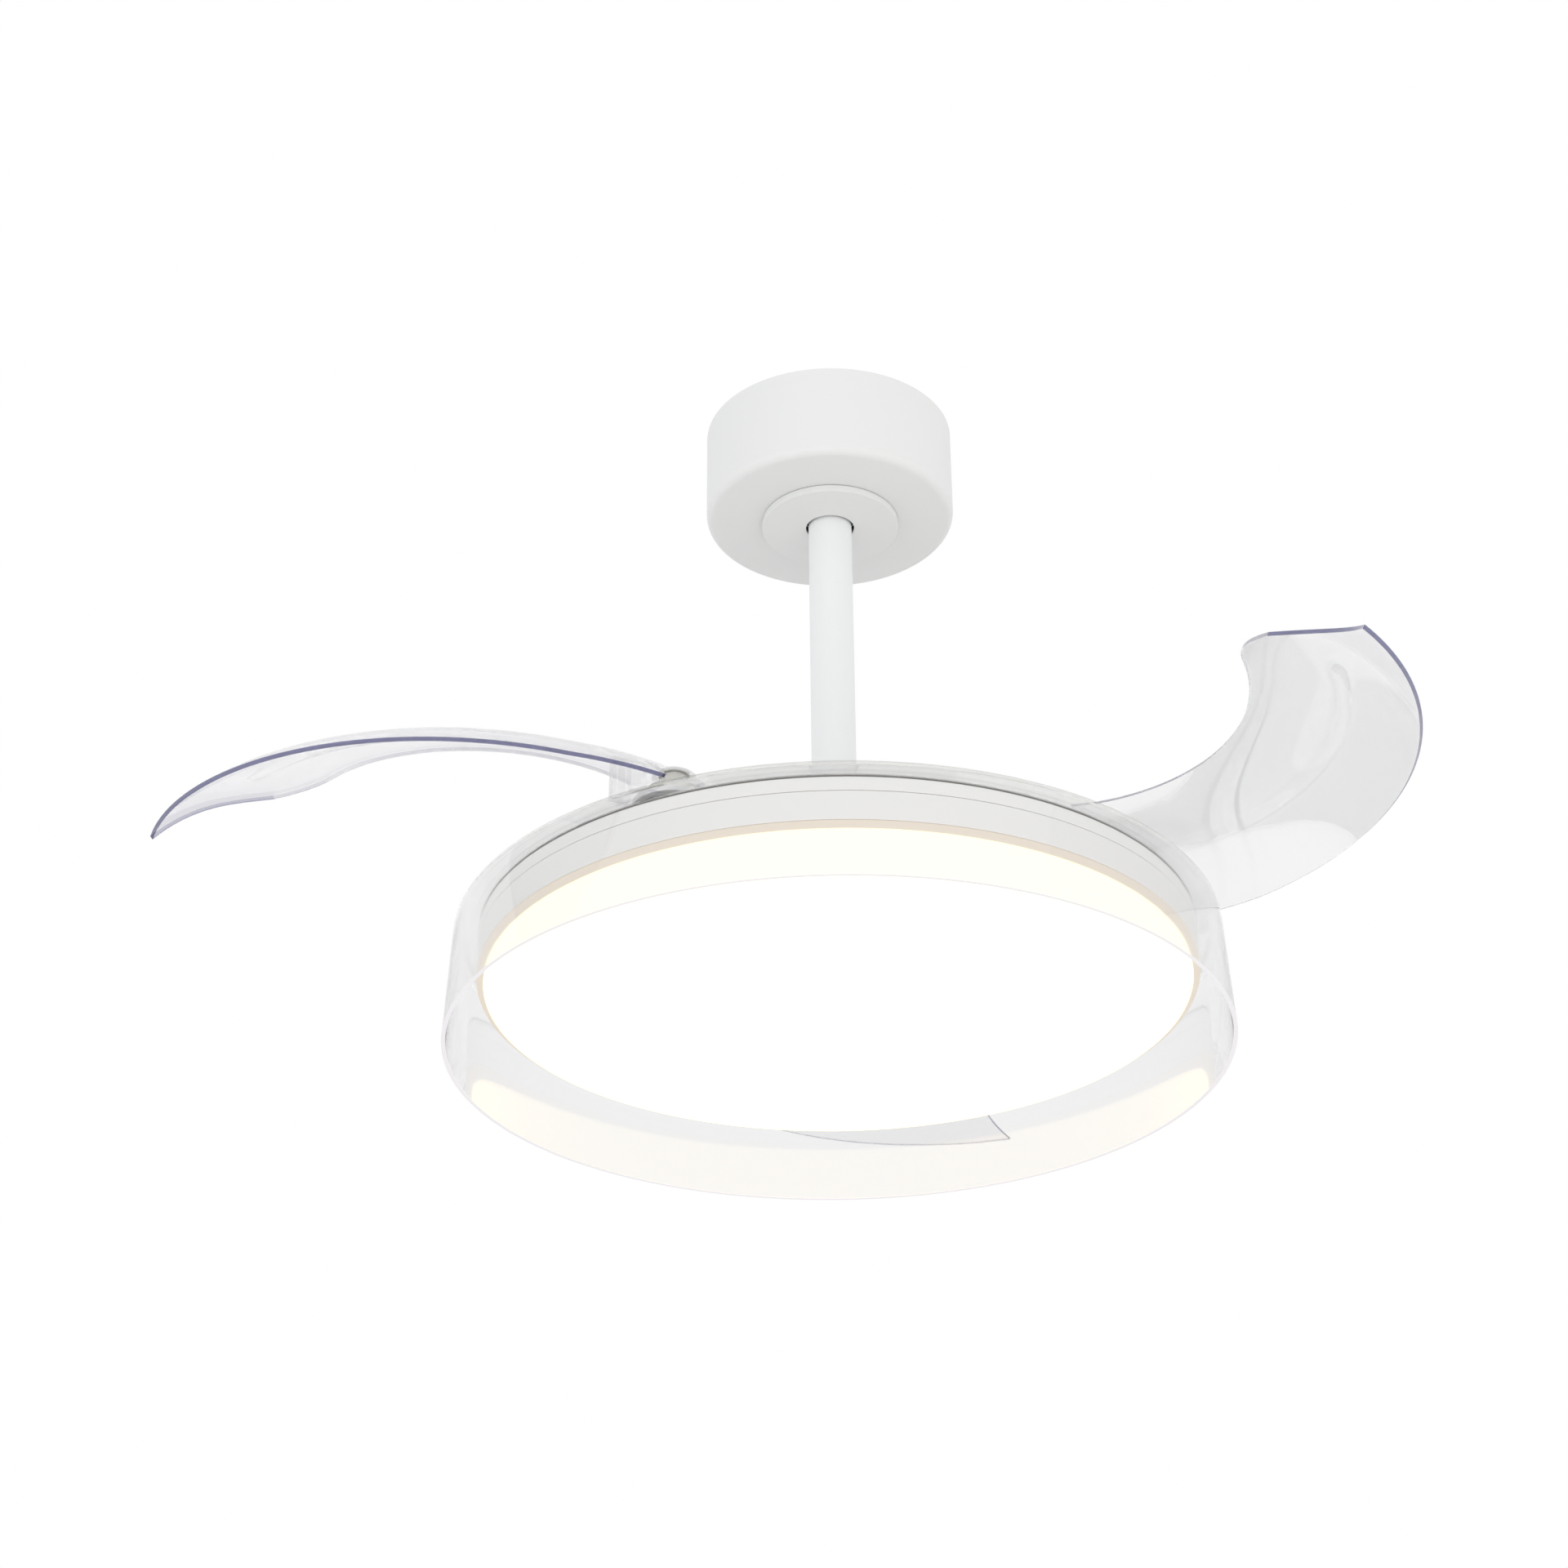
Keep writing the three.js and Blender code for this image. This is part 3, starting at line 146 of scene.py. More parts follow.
class FanLampSettings(bpy.types.PropertyGroup):
    """Sizes of the lamp and of the clear shade round it."""

    rim_radius: length("Rim radius", "Radius of the shade's bottom rim", 225.0)
    top_radius: length("Top radius", "Radius of the shade's wall at its top", 221.2)
    shade_height: length("Shade height", "Height of the clear shade", 69.2)
    shade_wall: length("Shade wall", "Thickness of the shade's wall", 2.4)
    shade_corner: length("Shade corner", "Outer radius of the shade's top corner", 3.2)
    shade_edge: length("Shade edge", "Radius of the shade's rounded edges", 0.7)
    # The rim band takes the pale finish that is painted light for the bright rim line
    rim_band: length("Rim band", "Height of the satin rim round the shade's mouth", 0.75)
    flange_width: length("Flange width", "Width of the shade's flange", 35.2)
    line_width: length("Line width", "Width of the fine grooves in the flange", 2.0)
    line_depth: length("Line depth", "Depth of the fine grooves in the flange", 0.4)
    seal_width: length("Seal width", "Width of the seal round the lamp's top", 3.0)
    seal_groove: length("Seal groove", "Depth of the seal's groove in the flange", 1.3)
    lamp_radius: length("Lamp radius", "Radius of the lamp's body", 207.0)
    lamp_wall: length("Lamp wall", "Sheet thickness of the lamp's body", 2.0)
    lamp_bend: length("Lamp bend", "Radius of the pan's top edge", 1.5)
    pan_hole: length("Pan hole", "Radius of the hole in the pan's middle", 8.3)
    face_radius: length("Face radius", "Radius of the diffuser's flat face", 202.6)
    face_bevel: length("Face bevel", "Height of the diffuser's bevelled edge", 3.0)
    opal_wall: length("Opal wall", "Thickness of the diffuser", 2.0)


class FanBladeSettings(bpy.types.PropertyGroup):
    """Sizes of a blade, drawn folded round the fan's axis with its pivot on the X axis."""

    pivot_radius: length("Pivot radius", "Distance of the blades' pivots from the axis", 184.5)
    first_azimuth: angle("First azimuth", "Azimuth of the first pivot", 2.25)
    swing: angle("Swing", "Angle between a folded and an open blade", 67.6124)
    outer_radius: length("Outer radius", "Radius of the blade's outer edge", 190.8)
    outer_start: angle("Outer start", "Azimuth of the outer edge at the root", 6.2)
    outer_sweep: angle("Outer sweep", "Angle that the outer edge runs round the axis", 116.4)
    outer_height: length("Outer height", "Height of the outer edge over the shade", 17.1)
    outer_climb: length("Outer climb", "How far the outer edge climbs to the tip", 15.1)
    level_share: amount("Level share", "Share of the outer edge before it climbs", 0.225)
    inner_radius: length("Inner radius", "Radius of the blade's inner edge", 109.3)
    inner_start: angle("Inner start", "Azimuth of the inner edge at the root", 10.2)
    inner_sweep: angle("Inner sweep", "Angle that the inner edge runs round its centre", 111.7)
    inner_centre_x: length("Inner centre X", "Place of the inner edge's centre along X", 2.1)
    inner_centre_y: length("Inner centre Y", "Place of the inner edge's centre along Y", 5.9)
    inner_height: length("Inner height", "Height of the inner edge over the shade", 59.6)
    inner_climb: length("Inner climb", "How far the inner edge climbs to the tip", 10.5)
    camber: length("Camber", "How far the blade bulges up at its root", 8.5)
    camber_loss: length("Camber loss", "How much less it bulges towards its tip", 2.0)
    thickness: length("Thickness", "Thickness of a blade", 2.6)
    edge_rounding: length("Edge rounding", "Radius of the blade's rounded edges", 0.9)
    rib_radius: length("Rib radius", "Radius of the stiffening rib's path", 152.5)
    rib_half_width: length("Rib half width", "Half the width of the stiffening rib", 5.5)
    rib_depth: length("Rib depth", "How far the rib stands out under the blade", 2.6)
    rib_start: angle("Rib start", "Azimuth where the rib starts near the root", -9.0)
    rib_end: angle("Rib end", "Azimuth where the rib ends near the tip", -90.5)
    boss_radius: length("Boss radius", "Radius of the blade's pivot boss", 12.0)
    boss_top: length("Boss top", "Height of the boss's top", 91.5)
    well_radius: length("Well radius", "Radius of the well over the boss", 10.5)
    bore_radius: length("Bore radius", "Radius of the boss's bore", 7.0)
    web_radius: length("Web radius", "Radius of the middle of the web", 178.5)
    web_wall: length("Web wall", "Thickness of the web beside the boss", 5.0)
    columns: IntProperty(name="Columns", description="Faces across a blade", default=72, min=12)
    rows: IntProperty(name="Rows", description="Faces along a blade", default=96, min=12)


class FanFinishSettings(bpy.types.PropertyGroup):
    """Colours of the fan's finishes."""

    white_paint: colour("White paint", "Canopy and its trim", (0.80, 0.80, 0.785))
    # Rod paint is the canopy's white paint made lighter: painted light, for a rod that is lit more
    # than the canopy
    rod_paint: colour("Rod paint", "Downrod", (0.865, 0.87, 0.865))
    white_casing: colour("White casing", "Lamp body and covers", (0.90, 0.885, 0.86))
    white_plastic: colour("White plastic", "Gears, bushes, stops and boxes", (0.76, 0.74, 0.68))
    black_rubber: colour("Black rubber", "Hanger ball", (0.018, 0.018, 0.02))
    # The seal's dark grey draws the dark line round the lamp's top: painted shade for the gap between
    # pan and flange
    grey_rubber: colour("Grey rubber", "Seal round the lamp's top", (0.26, 0.25, 0.235))
    cast_aluminium: colour("Cast aluminium", "Motor housing and blade carrier", (0.83, 0.84, 0.85))
    zinc_steel: colour("Zinc steel", "Bracket, coupler and lamp plate", (0.68, 0.7, 0.7))
    bright_steel: colour("Bright steel", "Shaft, pins, bearings and screws", (0.87, 0.87, 0.865))
    core_steel: colour("Core steel", "Motor core", (0.2, 0.21, 0.23))
    copper_wire: colour("Copper wire", "Motor winding", (0.72, 0.33, 0.16))
    ferrite: colour("Ferrite", "Motor magnets", (0.045, 0.047, 0.052))
    clear_shade: colour("Clear shade", "Tint of the shade", (0.90, 0.90, 0.903))
    clear_flange: colour("Clear flange", "Tint of the shade's flat top", (0.98, 0.98, 0.975))
    # The edge-on tints are partly tint and partly painted shade, for the dark outline of clear plastic
    shade_edge: colour("Shade edge on", "Tint of the shade seen edge on", (0.84, 0.835, 0.85))
    # Shade rim: a pale satin band whose pinkish tone is painted light, for the bright line the clear
    # rim shows over the lamp
    shade_rim: colour("Shade rim", "Satin edge round the shade's mouth", (0.86, 0.83, 0.85))
    clear_blade: colour("Clear blades", "Tint of the blades", (0.945, 0.945, 0.948))
    clear_edge: colour("Blade edge on", "Tint of a blade seen edge on", (0.72, 0.71, 0.80))
    # Lip and rim tints darken the blades' edges: painted shade for the dark outline of their clear
    # edges
    blade_lip: colour("Blade lip", "Tint of the blades' inner edges", (0.42, 0.42, 0.48))
    blade_rim: colour("Blade rim", "Tint of the blades' outer edges and tips", (0.10, 0.10, 0.22))
    opal: colour("Opal plastic", "Lamp's diffuser", (0.62, 0.56, 0.48))
    glow: colour("Glow", "Light that the diffuser gives off", (1.0, 0.81, 0.40))
    glow_strength: amount("Glow strength", "Strength of the diffuser's light", 1.35)


class FanStageSettings(bpy.types.PropertyGroup):
    """Backdrop, light and camera."""

    lens: amount("Lens", "Focal length on a 36 mm sensor", 71.604, "CAMERA")
    camera_back: length("Camera distance", "How far in front of the axis it stands", 1625.66)
    camera_below: length("Camera depth", "How far under the shade's rim it stands", 719.23)
    pitch: angle("Pitch", "How far the camera looks up", 28.847717)
    yaw: angle("Yaw", "How far it looks to the right", -1.056397)
    roll: angle("Roll", "How far it leans to one side", -0.464295)
    floor_depth: length("Floor depth", "How far the floor lies under the ceiling plane", 2600.0)
    ambient: amount("Ambient", "Strength of the even light from all round", 0.86)
    soft_light: amount("Soft light", "Power that the soft lights share", 26.0, "POWER")


# ---- Mesh helpers ---------------------------------------------------------------------------


def finish_mesh(bm, name, material, flat=False):
    """Turns a finished bmesh into an object at the origin, shaded smooth unless it stays flat."""
    mesh = bpy.data.meshes.new(name)
    for face in bm.faces:
        face.smooth = not flat
    bm.to_mesh(mesh)
    bm.free()
    mesh.materials.append(material)
    obj = bpy.data.objects.new(name, mesh)
    bpy.context.scene.collection.objects.link(obj)
    if not flat:
        even_normals(obj)
    return obj


def even_normals(obj):
    """Lets large faces stay flat beside their rounded edges."""
    step = obj.modifiers.new("Even normals", "WEIGHTED_NORMAL")
    step.keep_sharp = True


def round_edges(bm, width, least_angle=math.radians(25)):
    """Rounds every edge where two faces meet at a clear angle; gives back the new faces."""
    sharp = [edge for edge in bm.edges
             if edge.is_manifold and edge.calc_face_angle() > least_angle]
    result = bmesh.ops.bevel(
        bm,
        geom=sharp,
        offset=width * MM,
        offset_type="OFFSET",
        segments=BEVEL_SEGMENTS,
        profile=0.5,
        affect="EDGES",
        clamp_overlap=True,
        material=-1,
    )
    return result["faces"]


def spin_profile(bm, profile, steps):
    """Spins (radius, height) points in mm round the fan's axis into a closed shell.

    The profile is closed too, unless both its ends lie on the axis.
    """
    verts = [bm.verts.new((r * MM, 0, RIM_Z + z * MM)) for r, z in profile]
    pairs = list(zip(verts, verts[1:]))
    if profile[0][0] > 0 or profile[-1][0] > 0:
        pairs.append((verts[-1], verts[0]))
    edges = [bm.edges.new(pair) for pair in pairs]
    bmesh.ops.spin(
        bm,
        geom=verts + edges,
        cent=(0, 0, 0),
        axis=(0, 0, 1),
        dvec=(0, 0, 0),
        angle=FULL_TURN,
        steps=steps,
        use_merge=True,
    )
    bmesh.ops.remove_doubles(bm, verts=bm.verts, dist=1e-6)
    bmesh.ops.recalc_face_normals(bm, faces=bm.faces)


def turned(name, profile, material, steps, edge):
    """A piece spun from a profile, its edges rounded to a radius in mm."""
    bm = bmesh.new()
    spin_profile(bm, profile, steps)
    round_edges(bm, edge)
    return finish_mesh(bm, name, material)


def rounded_corner(centre_radius, centre_height, radius, start, end, steps=6):
    """Points of a rounded corner in a profile, in mm and degrees, both ends included."""
    points = []
    for i in range(steps + 1):
        turn = math.radians(start + (end - start) * i / steps)
        points.append((centre_radius + radius * math.cos(turn),
                       centre_height + radius * math.sin(turn)))
    return points


def apply_modifiers(obj):
    """Bakes an object's modifiers into its mesh."""
    graph = bpy.context.evaluated_depsgraph_get()
    mesh = bpy.data.meshes.new_from_object(obj.evaluated_get(graph))
    obj.modifiers.clear()
    obj.data = mesh


def combine(base, tool, operation):
    """Joins the tool to the base, or cuts it out, and removes the tool."""
    step = base.modifiers.new("Combine", "BOOLEAN")
    step.operation = operation
    step.solver = "EXACT"
    step.object = tool
    apply_modifiers(base)
    bpy.data.objects.remove(tool)


def place(obj, node, body):
    """Hangs a piece on its body and lets it stand for its frame node."""
    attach(obj, body)
    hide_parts(node)


def pivot_place(s, index):
    """Takes a piece drawn at the origin to a blade's pivot."""
    turn = Matrix.Rotation(FULL_TURN * index / BLADES, 4, "Z")
    first = Matrix.Rotation(s.first_azimuth, 4, "Z")
    out = Matrix.Translation((s.pivot_radius * MM, 0, 0))
    return turn @ first @ out


def copied(obj, name, transform):
    """A copy of an object with the move put into its mesh."""
    twin = obj.copy()
    twin.data = obj.data.copy()
    twin.data.transform(transform)
    twin.name = name
    bpy.context.scene.collection.objects.link(twin)
    return twin


# ---- Shader helpers -------------------------------------------------------------------------

# A mix node has sockets of the same name for each kind of data: these are the ones for colours.
COLOUR_A, COLOUR_B, MIXED_COLOUR = 6, 7, 2


def new_group(name, inputs, outputs):
    """A node group with its sockets, and its input and output nodes."""
    group = bpy.data.node_groups.new(name, "ShaderNodeTree")
    for label, kind, default in inputs:
        socket = group.interface.new_socket(name=label, in_out="INPUT", socket_type=kind)
        socket.default_value = default
    for label, kind in outputs:
        group.interface.new_socket(name=label, in_out="OUTPUT", socket_type=kind)
    start = group.nodes.new("NodeGroupInput")
    end = group.nodes.new("NodeGroupOutput")
    return group, start, end


def math_node(tree, operation, *values):
    """A sum of numbers and outputs of other nodes."""
    node = tree.nodes.new("ShaderNodeMath")
    node.operation = operation
    for socket, value in zip(node.inputs, values):
        if isinstance(value, (int, float)):
            socket.default_value = value
        else:
            tree.links.new(value, socket)
    return node.outputs[0]


def colour_mix(tree, factor, first, second):
    """A blend of two colours, each a colour or an output of another node."""
    node = tree.nodes.new("ShaderNodeMix")
    node.data_type = "RGBA"
    sockets = (node.inputs["Factor"], node.inputs[COLOUR_A], node.inputs[COLOUR_B])
    for socket, value in zip(sockets, (factor, first, second)):
        if hasattr(value, "is_output"):
            tree.links.new(value, socket)
        elif isinstance(value, (int, float)):
            socket.default_value = value
        else:
            socket.default_value = (*value, 1.0)
    return node.outputs[MIXED_COLOUR]


def noise_node(tree, vector, scale, detail=3.0, roughness=0.5):
    node = tree.nodes.new("ShaderNodeTexNoise")
    node.inputs["Detail"].default_value = detail
    node.inputs["Roughness"].default_value = roughness
    tree.links.new(vector, node.inputs["Vector"])
    if hasattr(scale, "is_output"):
        tree.links.new(scale, node.inputs["Scale"])
    else:
        node.inputs["Scale"].default_value = scale
    return node.outputs["Fac"]


def object_coordinates(tree):
    return tree.nodes.new("ShaderNodeTexCoord").outputs["Object"]


def build_grain_group():
    """Fine moulded or sprayed grain: a height for bump and a soft mask for colour."""
    group, start, end = new_group(
        "Fan Surface Grain",
        [("Grain Scale", "NodeSocketFloat", 900.0), ("Cloud Scale", "NodeSocketFloat", 9.0)],
        [("Height", "NodeSocketFloat"), ("Cloud", "NodeSocketFloat")],
    )
    spot = object_coordinates(group)
    fine = noise_node(group, spot, start.outputs["Grain Scale"], 2.0, 0.6)
    cloud = noise_node(group, spot, start.outputs["Cloud Scale"], 4.0, 0.55)
    group.links.new(fine, end.inputs["Height"])
    group.links.new(cloud, end.inputs["Cloud"])
    return group


def build_dust_group():
    """Thin dust on faces that look up: a mask that follows the normal and a soft noise."""
    group, start, end = new_group(
        "Fan Dust",
        [("Amount", "NodeSocketFloat", 0.3)],
        [("Mask", "NodeSocketFloat")],
    )
    geometry = group.nodes.new("ShaderNodeNewGeometry")
    split = group.nodes.new("ShaderNodeSeparateXYZ")
    group.links.new(geometry.outputs["Normal"], split.inputs[0])
    upward = math_node(group, "MAXIMUM", split.outputs["Z"], 0.0)
    patches = noise_node(group, object_coordinates(group), 60.0, 5.0, 0.65)
    raw = math_node(group, "MULTIPLY", upward, patches)
    group.links.new(math_node(group, "MULTIPLY", raw, start.outputs["Amount"]), end.inputs["Mask"])
    return group


def build_brush_group():
    """Turning or brushing marks round the Z axis: a height and a roughness mask."""
    group, start, end = new_group(
        "Fan Turning Marks",
        [("Marks Scale", "NodeSocketFloat", 1600.0)],
        [("Height", "NodeSocketFloat"), ("Streak", "NodeSocketFloat")],
    )
    split = group.nodes.new("ShaderNodeSeparateXYZ")
    group.links.new(object_coordinates(group), split.inputs[0])
    squares = [math_node(group, "MULTIPLY", split.outputs[a], split.outputs[a]) for a in ("X", "Y")]
    radius = math_node(group, "SQRT", math_node(group, "ADD", *squares))
    join = group.nodes.new("ShaderNodeCombineXYZ")
    group.links.new(radius, join.inputs["X"])
    group.links.new(split.outputs["Z"], join.inputs["Y"])
    marks = noise_node(group, join.outputs[0], start.outputs["Marks Scale"], 2.0, 0.7)
    streak = noise_node(group, join.outputs[0], 240.0, 3.0, 0.6)
    group.links.new(marks, end.inputs["Height"])
    group.links.new(streak, end.inputs["Streak"])
    return group


def group_node(tree, group, **values):
    node = tree.nodes.new("ShaderNodeGroup")
    node.node_tree = group
    for label, value in values.items():
        node.inputs[label.replace("_", " ").title()].default_value = value
    return node


def new_material(name):
    material = bpy.data.materials.new(name)
    material.use_nodes = True
    tree = material.node_tree
    shader = tree.nodes["Principled BSDF"]
    return material, tree, shader


def bump(tree, height, distance):
    node = tree.nodes.new("ShaderNodeBump")
    node.inputs["Distance"].default_value = distance
    node.inputs["Strength"].default_value = 1.0
    tree.links.new(height, node.inputs["Height"])
    return node.outputs[0]


def remap(tree, value, low, high):
    """Takes a noise, most of which lies between 0.3 and 0.7, to the range from low to high."""
    node = tree.nodes.new("ShaderNodeMapRange")
    node.inputs["From Min"].default_value = 0.3
    node.inputs["From Max"].default_value = 0.7
    node.inputs["To Min"].default_value = low
    node.inputs["To Max"].default_value = high
    tree.links.new(value, node.inputs["Value"])
    return node.outputs[0]


def coated(name, tone, groups, roughness, grain_scale, grain_depth, variation=0.04, dust=0.25,
           metallic=0.0):
    """A painted, moulded or cast finish with fine grain, soft colour clouds and thin dust."""
    material, tree, shader = new_material(name)
    grain = group_node(tree, groups["grain"], grain_scale=grain_scale, cloud_scale=11.0)
    dusty = group_node(tree, groups["dust"], amount=dust)
    darker = tuple(c * (1 - variation) for c in tone)
    base = colour_mix(tree, grain.outputs["Cloud"], tone, darker)
    grey = tuple(0.55 * c + 0.18 for c in tone)
    base = colour_mix(tree, dusty.outputs["Mask"], base, grey)
    tree.links.new(base, shader.inputs["Base Color"])
    tree.links.new(remap(tree, grain.outputs["Cloud"], roughness - 0.05, roughness + 0.05),
                   shader.inputs["Roughness"])
    tree.links.new(bump(tree, grain.outputs["Height"], grain_depth), shader.inputs["Normal"])
    shader.inputs["Metallic"].default_value = metallic
    return material


def metal(name, tone, groups, roughness, marks_scale, marks_depth=0.00003):
    """Turned or brushed metal with fine marks round its axis."""
    material, tree, shader = new_material(name)
    marks = group_node(tree, groups["brush"], marks_scale=marks_scale)
    darker = tuple(c * 0.86 for c in tone)
    tree.links.new(colour_mix(tree, marks.outputs["Streak"], tone, darker),
                   shader.inputs["Base Color"])
    tree.links.new(remap(tree, marks.outputs["Streak"], roughness - 0.08, roughness + 0.1),
                   shader.inputs["Roughness"])
    tree.links.new(bump(tree, marks.outputs["Height"], marks_depth), shader.inputs["Normal"])
    shader.inputs["Metallic"].default_value = 1.0
    return material


def clear_plastic(name, tint, edge_on_tint_and_shade, groups, plain_share):
    """Clear moulded plastic that lets light pass. Its colour darkens where it is seen edge on: partly
    its tint, partly painted shade for the dark outline of clear plastic.

    plain_share is how much of what lies behind is seen straight through, without bending.
    """
    material, tree, shader = new_material(name)
    facing = tree.nodes.new("ShaderNodeLayerWeight")
    facing.inputs["Blend"].default_value = 0.5
    # The edge-on share darkens the colour along the outline: painted shade
    rim = math_node(tree, "POWER", facing.outputs["Facing"], 3.0)
    grain = group_node(tree, groups["grain"], grain_scale=35.0, cloud_scale=14.0)
    cloudy = tuple(c * 0.985 for c in tint)
    body = colour_mix(tree, grain.outputs["Cloud"], tint, cloudy)
    tree.links.new(colour_mix(tree, rim, body, edge_on_tint_and_shade), shader.inputs["Base Color"])
    tree.links.new(remap(tree, grain.outputs["Cloud"], 0.03, 0.05),
                   shader.inputs["Roughness"])
    tree.links.new(bump(tree, grain.outputs["Height"], 0.00004), shader.inputs["Normal"])
    shader.inputs["IOR"].default_value = 1.47
    shader.inputs["Transmission Weight"].default_value = 1.0
    through = tree.nodes.new("ShaderNodeBsdfTransparent")
    path = tree.nodes.new("ShaderNodeLightPath")
    passing = math_node(tree, "MAXIMUM", path.outputs["Is Shadow Ray"],
                        path.outputs["Is Diffuse Ray"])
    tree.links.new(colour_mix(tree, passing, tint, (0.97, 0.97, 0.97)), through.inputs["Color"])
    passing = math_node(tree, "MAXIMUM", passing, plain_share)
    blend = tree.nodes.new("ShaderNodeMixShader")
    output = tree.nodes["Material Output"]
    tree.links.new(passing, blend.inputs["Fac"])
    tree.links.new(shader.outputs[0], blend.inputs[1])
    tree.links.new(through.outputs[0], blend.inputs[2])
    tree.links.new(blend.outputs[0], output.inputs["Surface"])
    return material


BEVEL_GLOW = (0.17, 0.18, 0.30)  # share of the face's red, green and blue light on its bevel


def glowing_opal(name, tone, groups, glow, strength):
    """The lit diffuser: opal plastic whose flat face glows evenly and its bevel less."""
    material, tree, shader = new_material(name)
    grain = group_node(tree, groups["grain"], grain_scale=1500.0, cloud_scale=4.0)
    tree.links.new(colour_mix(tree, grain.outputs["Cloud"], tone, tuple(c * 0.99 for c in tone)),
                   shader.inputs["Base Color"])
    tree.links.new(remap(tree, grain.outputs["Cloud"], 0.45, 0.55), shader.inputs["Roughness"])
    tree.links.new(bump(tree, grain.outputs["Height"], 0.00002), shader.inputs["Normal"])
    geometry = tree.nodes.new("ShaderNodeNewGeometry")
    split = tree.nodes.new("ShaderNodeSeparateXYZ")
    tree.links.new(geometry.outputs["True Normal"], split.inputs[0])
    slope = tree.nodes.new("ShaderNodeMapRange")
    slope.interpolation_type = "SMOOTHSTEP"
    tree.links.new(split.outputs["Z"], slope.inputs["Value"])
    slope.inputs["From Min"].default_value = -0.985
    slope.inputs["From Max"].default_value = -0.86
    bevel = tuple(c * share for c, share in zip(glow, BEVEL_GLOW))
    even = colour_mix(tree, grain.outputs["Cloud"], glow, tuple(c * 0.995 for c in glow))
    tree.links.new(colour_mix(tree, slope.outputs[0], even, bevel),
                   shader.inputs["Emission Color"])
    shader.inputs["Emission Strength"].default_value = strength
    return material


# ---- Finishes -------------------------------------------------------------------------------

COATED = {
    "white_paint": {"roughness": 0.6, "grain_scale": 1400.0, "grain_depth": 0.00004,
                    "variation": 0.012, "dust": 0.05},
    # the rod's paint is a lighter copy of the white paint: painted light on the downrod
    "rod_paint": {"roughness": 0.55, "grain_scale": 1400.0, "grain_depth": 0.00004,
                  "variation": 0.012, "dust": 0.05},
    "white_casing": {"roughness": 0.42, "grain_scale": 2200.0, "grain_depth": 0.00002,
                     "variation": 0.012, "dust": 0.05},
    "white_plastic": {"roughness": 0.5, "grain_scale": 1800.0, "grain_depth": 0.00003},
    # the shade's rim band is painted light: a pale opaque line for the bright clear rim
    "shade_rim": {"roughness": 0.4, "grain_scale": 1800.0, "grain_depth": 0.00002,
                  "variation": 0.02, "dust": 0.0},
    "black_rubber": {"roughness": 0.75, "grain_scale": 2600.0, "grain_depth": 0.00005,
                     "variation": 0.1},
    # grey rubber on the seal is partly painted shade: a dark line for the gap between pan and flange
    "grey_rubber": {"roughness": 0.8, "grain_scale": 2400.0, "grain_depth": 0.00004,
                    "variation": 0.08, "dust": 0.05},
    "ferrite": {"roughness": 0.65, "grain_scale": 1300.0, "grain_depth": 0.00006},
    "cast_aluminium": {"roughness": 0.5, "grain_scale": 1100.0, "grain_depth": 0.00008,
                       "variation": 0.08, "dust": 0.15, "metallic": 1.0},
    "zinc_steel": {"roughness": 0.38, "grain_scale": 320.0, "grain_depth": 0.00002,
                   "variation": 0.14, "dust": 0.15, "metallic": 1.0},
}

METALS = {
    "bright_steel": {"roughness": 0.34, "marks_scale": 1600.0},
    "core_steel": {"roughness": 0.5, "marks_scale": 3000.0},
    "copper_wire": {"roughness": 0.35, "marks_scale": 1500.0, "marks_depth": 0.0002},
}

# Each clear finish with the settings that hold its tint and its tint seen edge on, which is partly
# painted shade for its dark outline, and the share of what lies behind that it shows without bending.
CLEAR = {
    "clear_plastic": ("clear_shade", "shade_edge", 0.0),
    "clear_flange": ("clear_flange", "shade_edge", 0.7),
    "clear_blade": ("clear_blade", "clear_edge", 0.55),
    "clear_boss": ("clear_blade", "clear_blade", 0.85),
    # The blades' lip and rim are painted shade: dark edges for the outline of the clear plastic
    "blade_lip": ("blade_lip", "clear_edge", 0.35),
    "blade_rim": ("blade_rim", "clear_edge", 0.4),
}

MATERIALS = {}


def finish(name):
    return MATERIALS[name]


def spoken(name):
    """A finish's name as the material list shows it."""
    return name.replace("_", " ").capitalize()


# ---- Operators ------------------------------------------------------------------------------


class FAN_OT_finishes(bpy.types.Operator):
    """Builds the finishes that the pieces share"""

    bl_idname = "fan.finishes"
    bl_label = "Finishes"

    def execute(self, context):
        look = context.scene.fan_finish
        groups = {"grain": build_grain_group(), "dust": build_dust_group(),
                  "brush": build_brush_group()}
        for name, surface in COATED.items():
            MATERIALS[name] = coated(spoken(name), getattr(look, name), groups, **surface)
        for name, surface in METALS.items():
            MATERIALS[name] = metal(spoken(name), getattr(look, name), groups, **surface)
        for name, (tint, edge_on_tint_and_shade, plain_share) in CLEAR.items():
            MATERIALS[name] = clear_plastic(spoken(name), getattr(look, tint),
                                            getattr(look, edge_on_tint_and_shade), groups, plain_share)
        MATERIALS["opal_plastic"] = glowing_opal("Opal plastic", look.opal, groups, look.glow,
                                                 look.glow_strength)
        return {"FINISHED"}


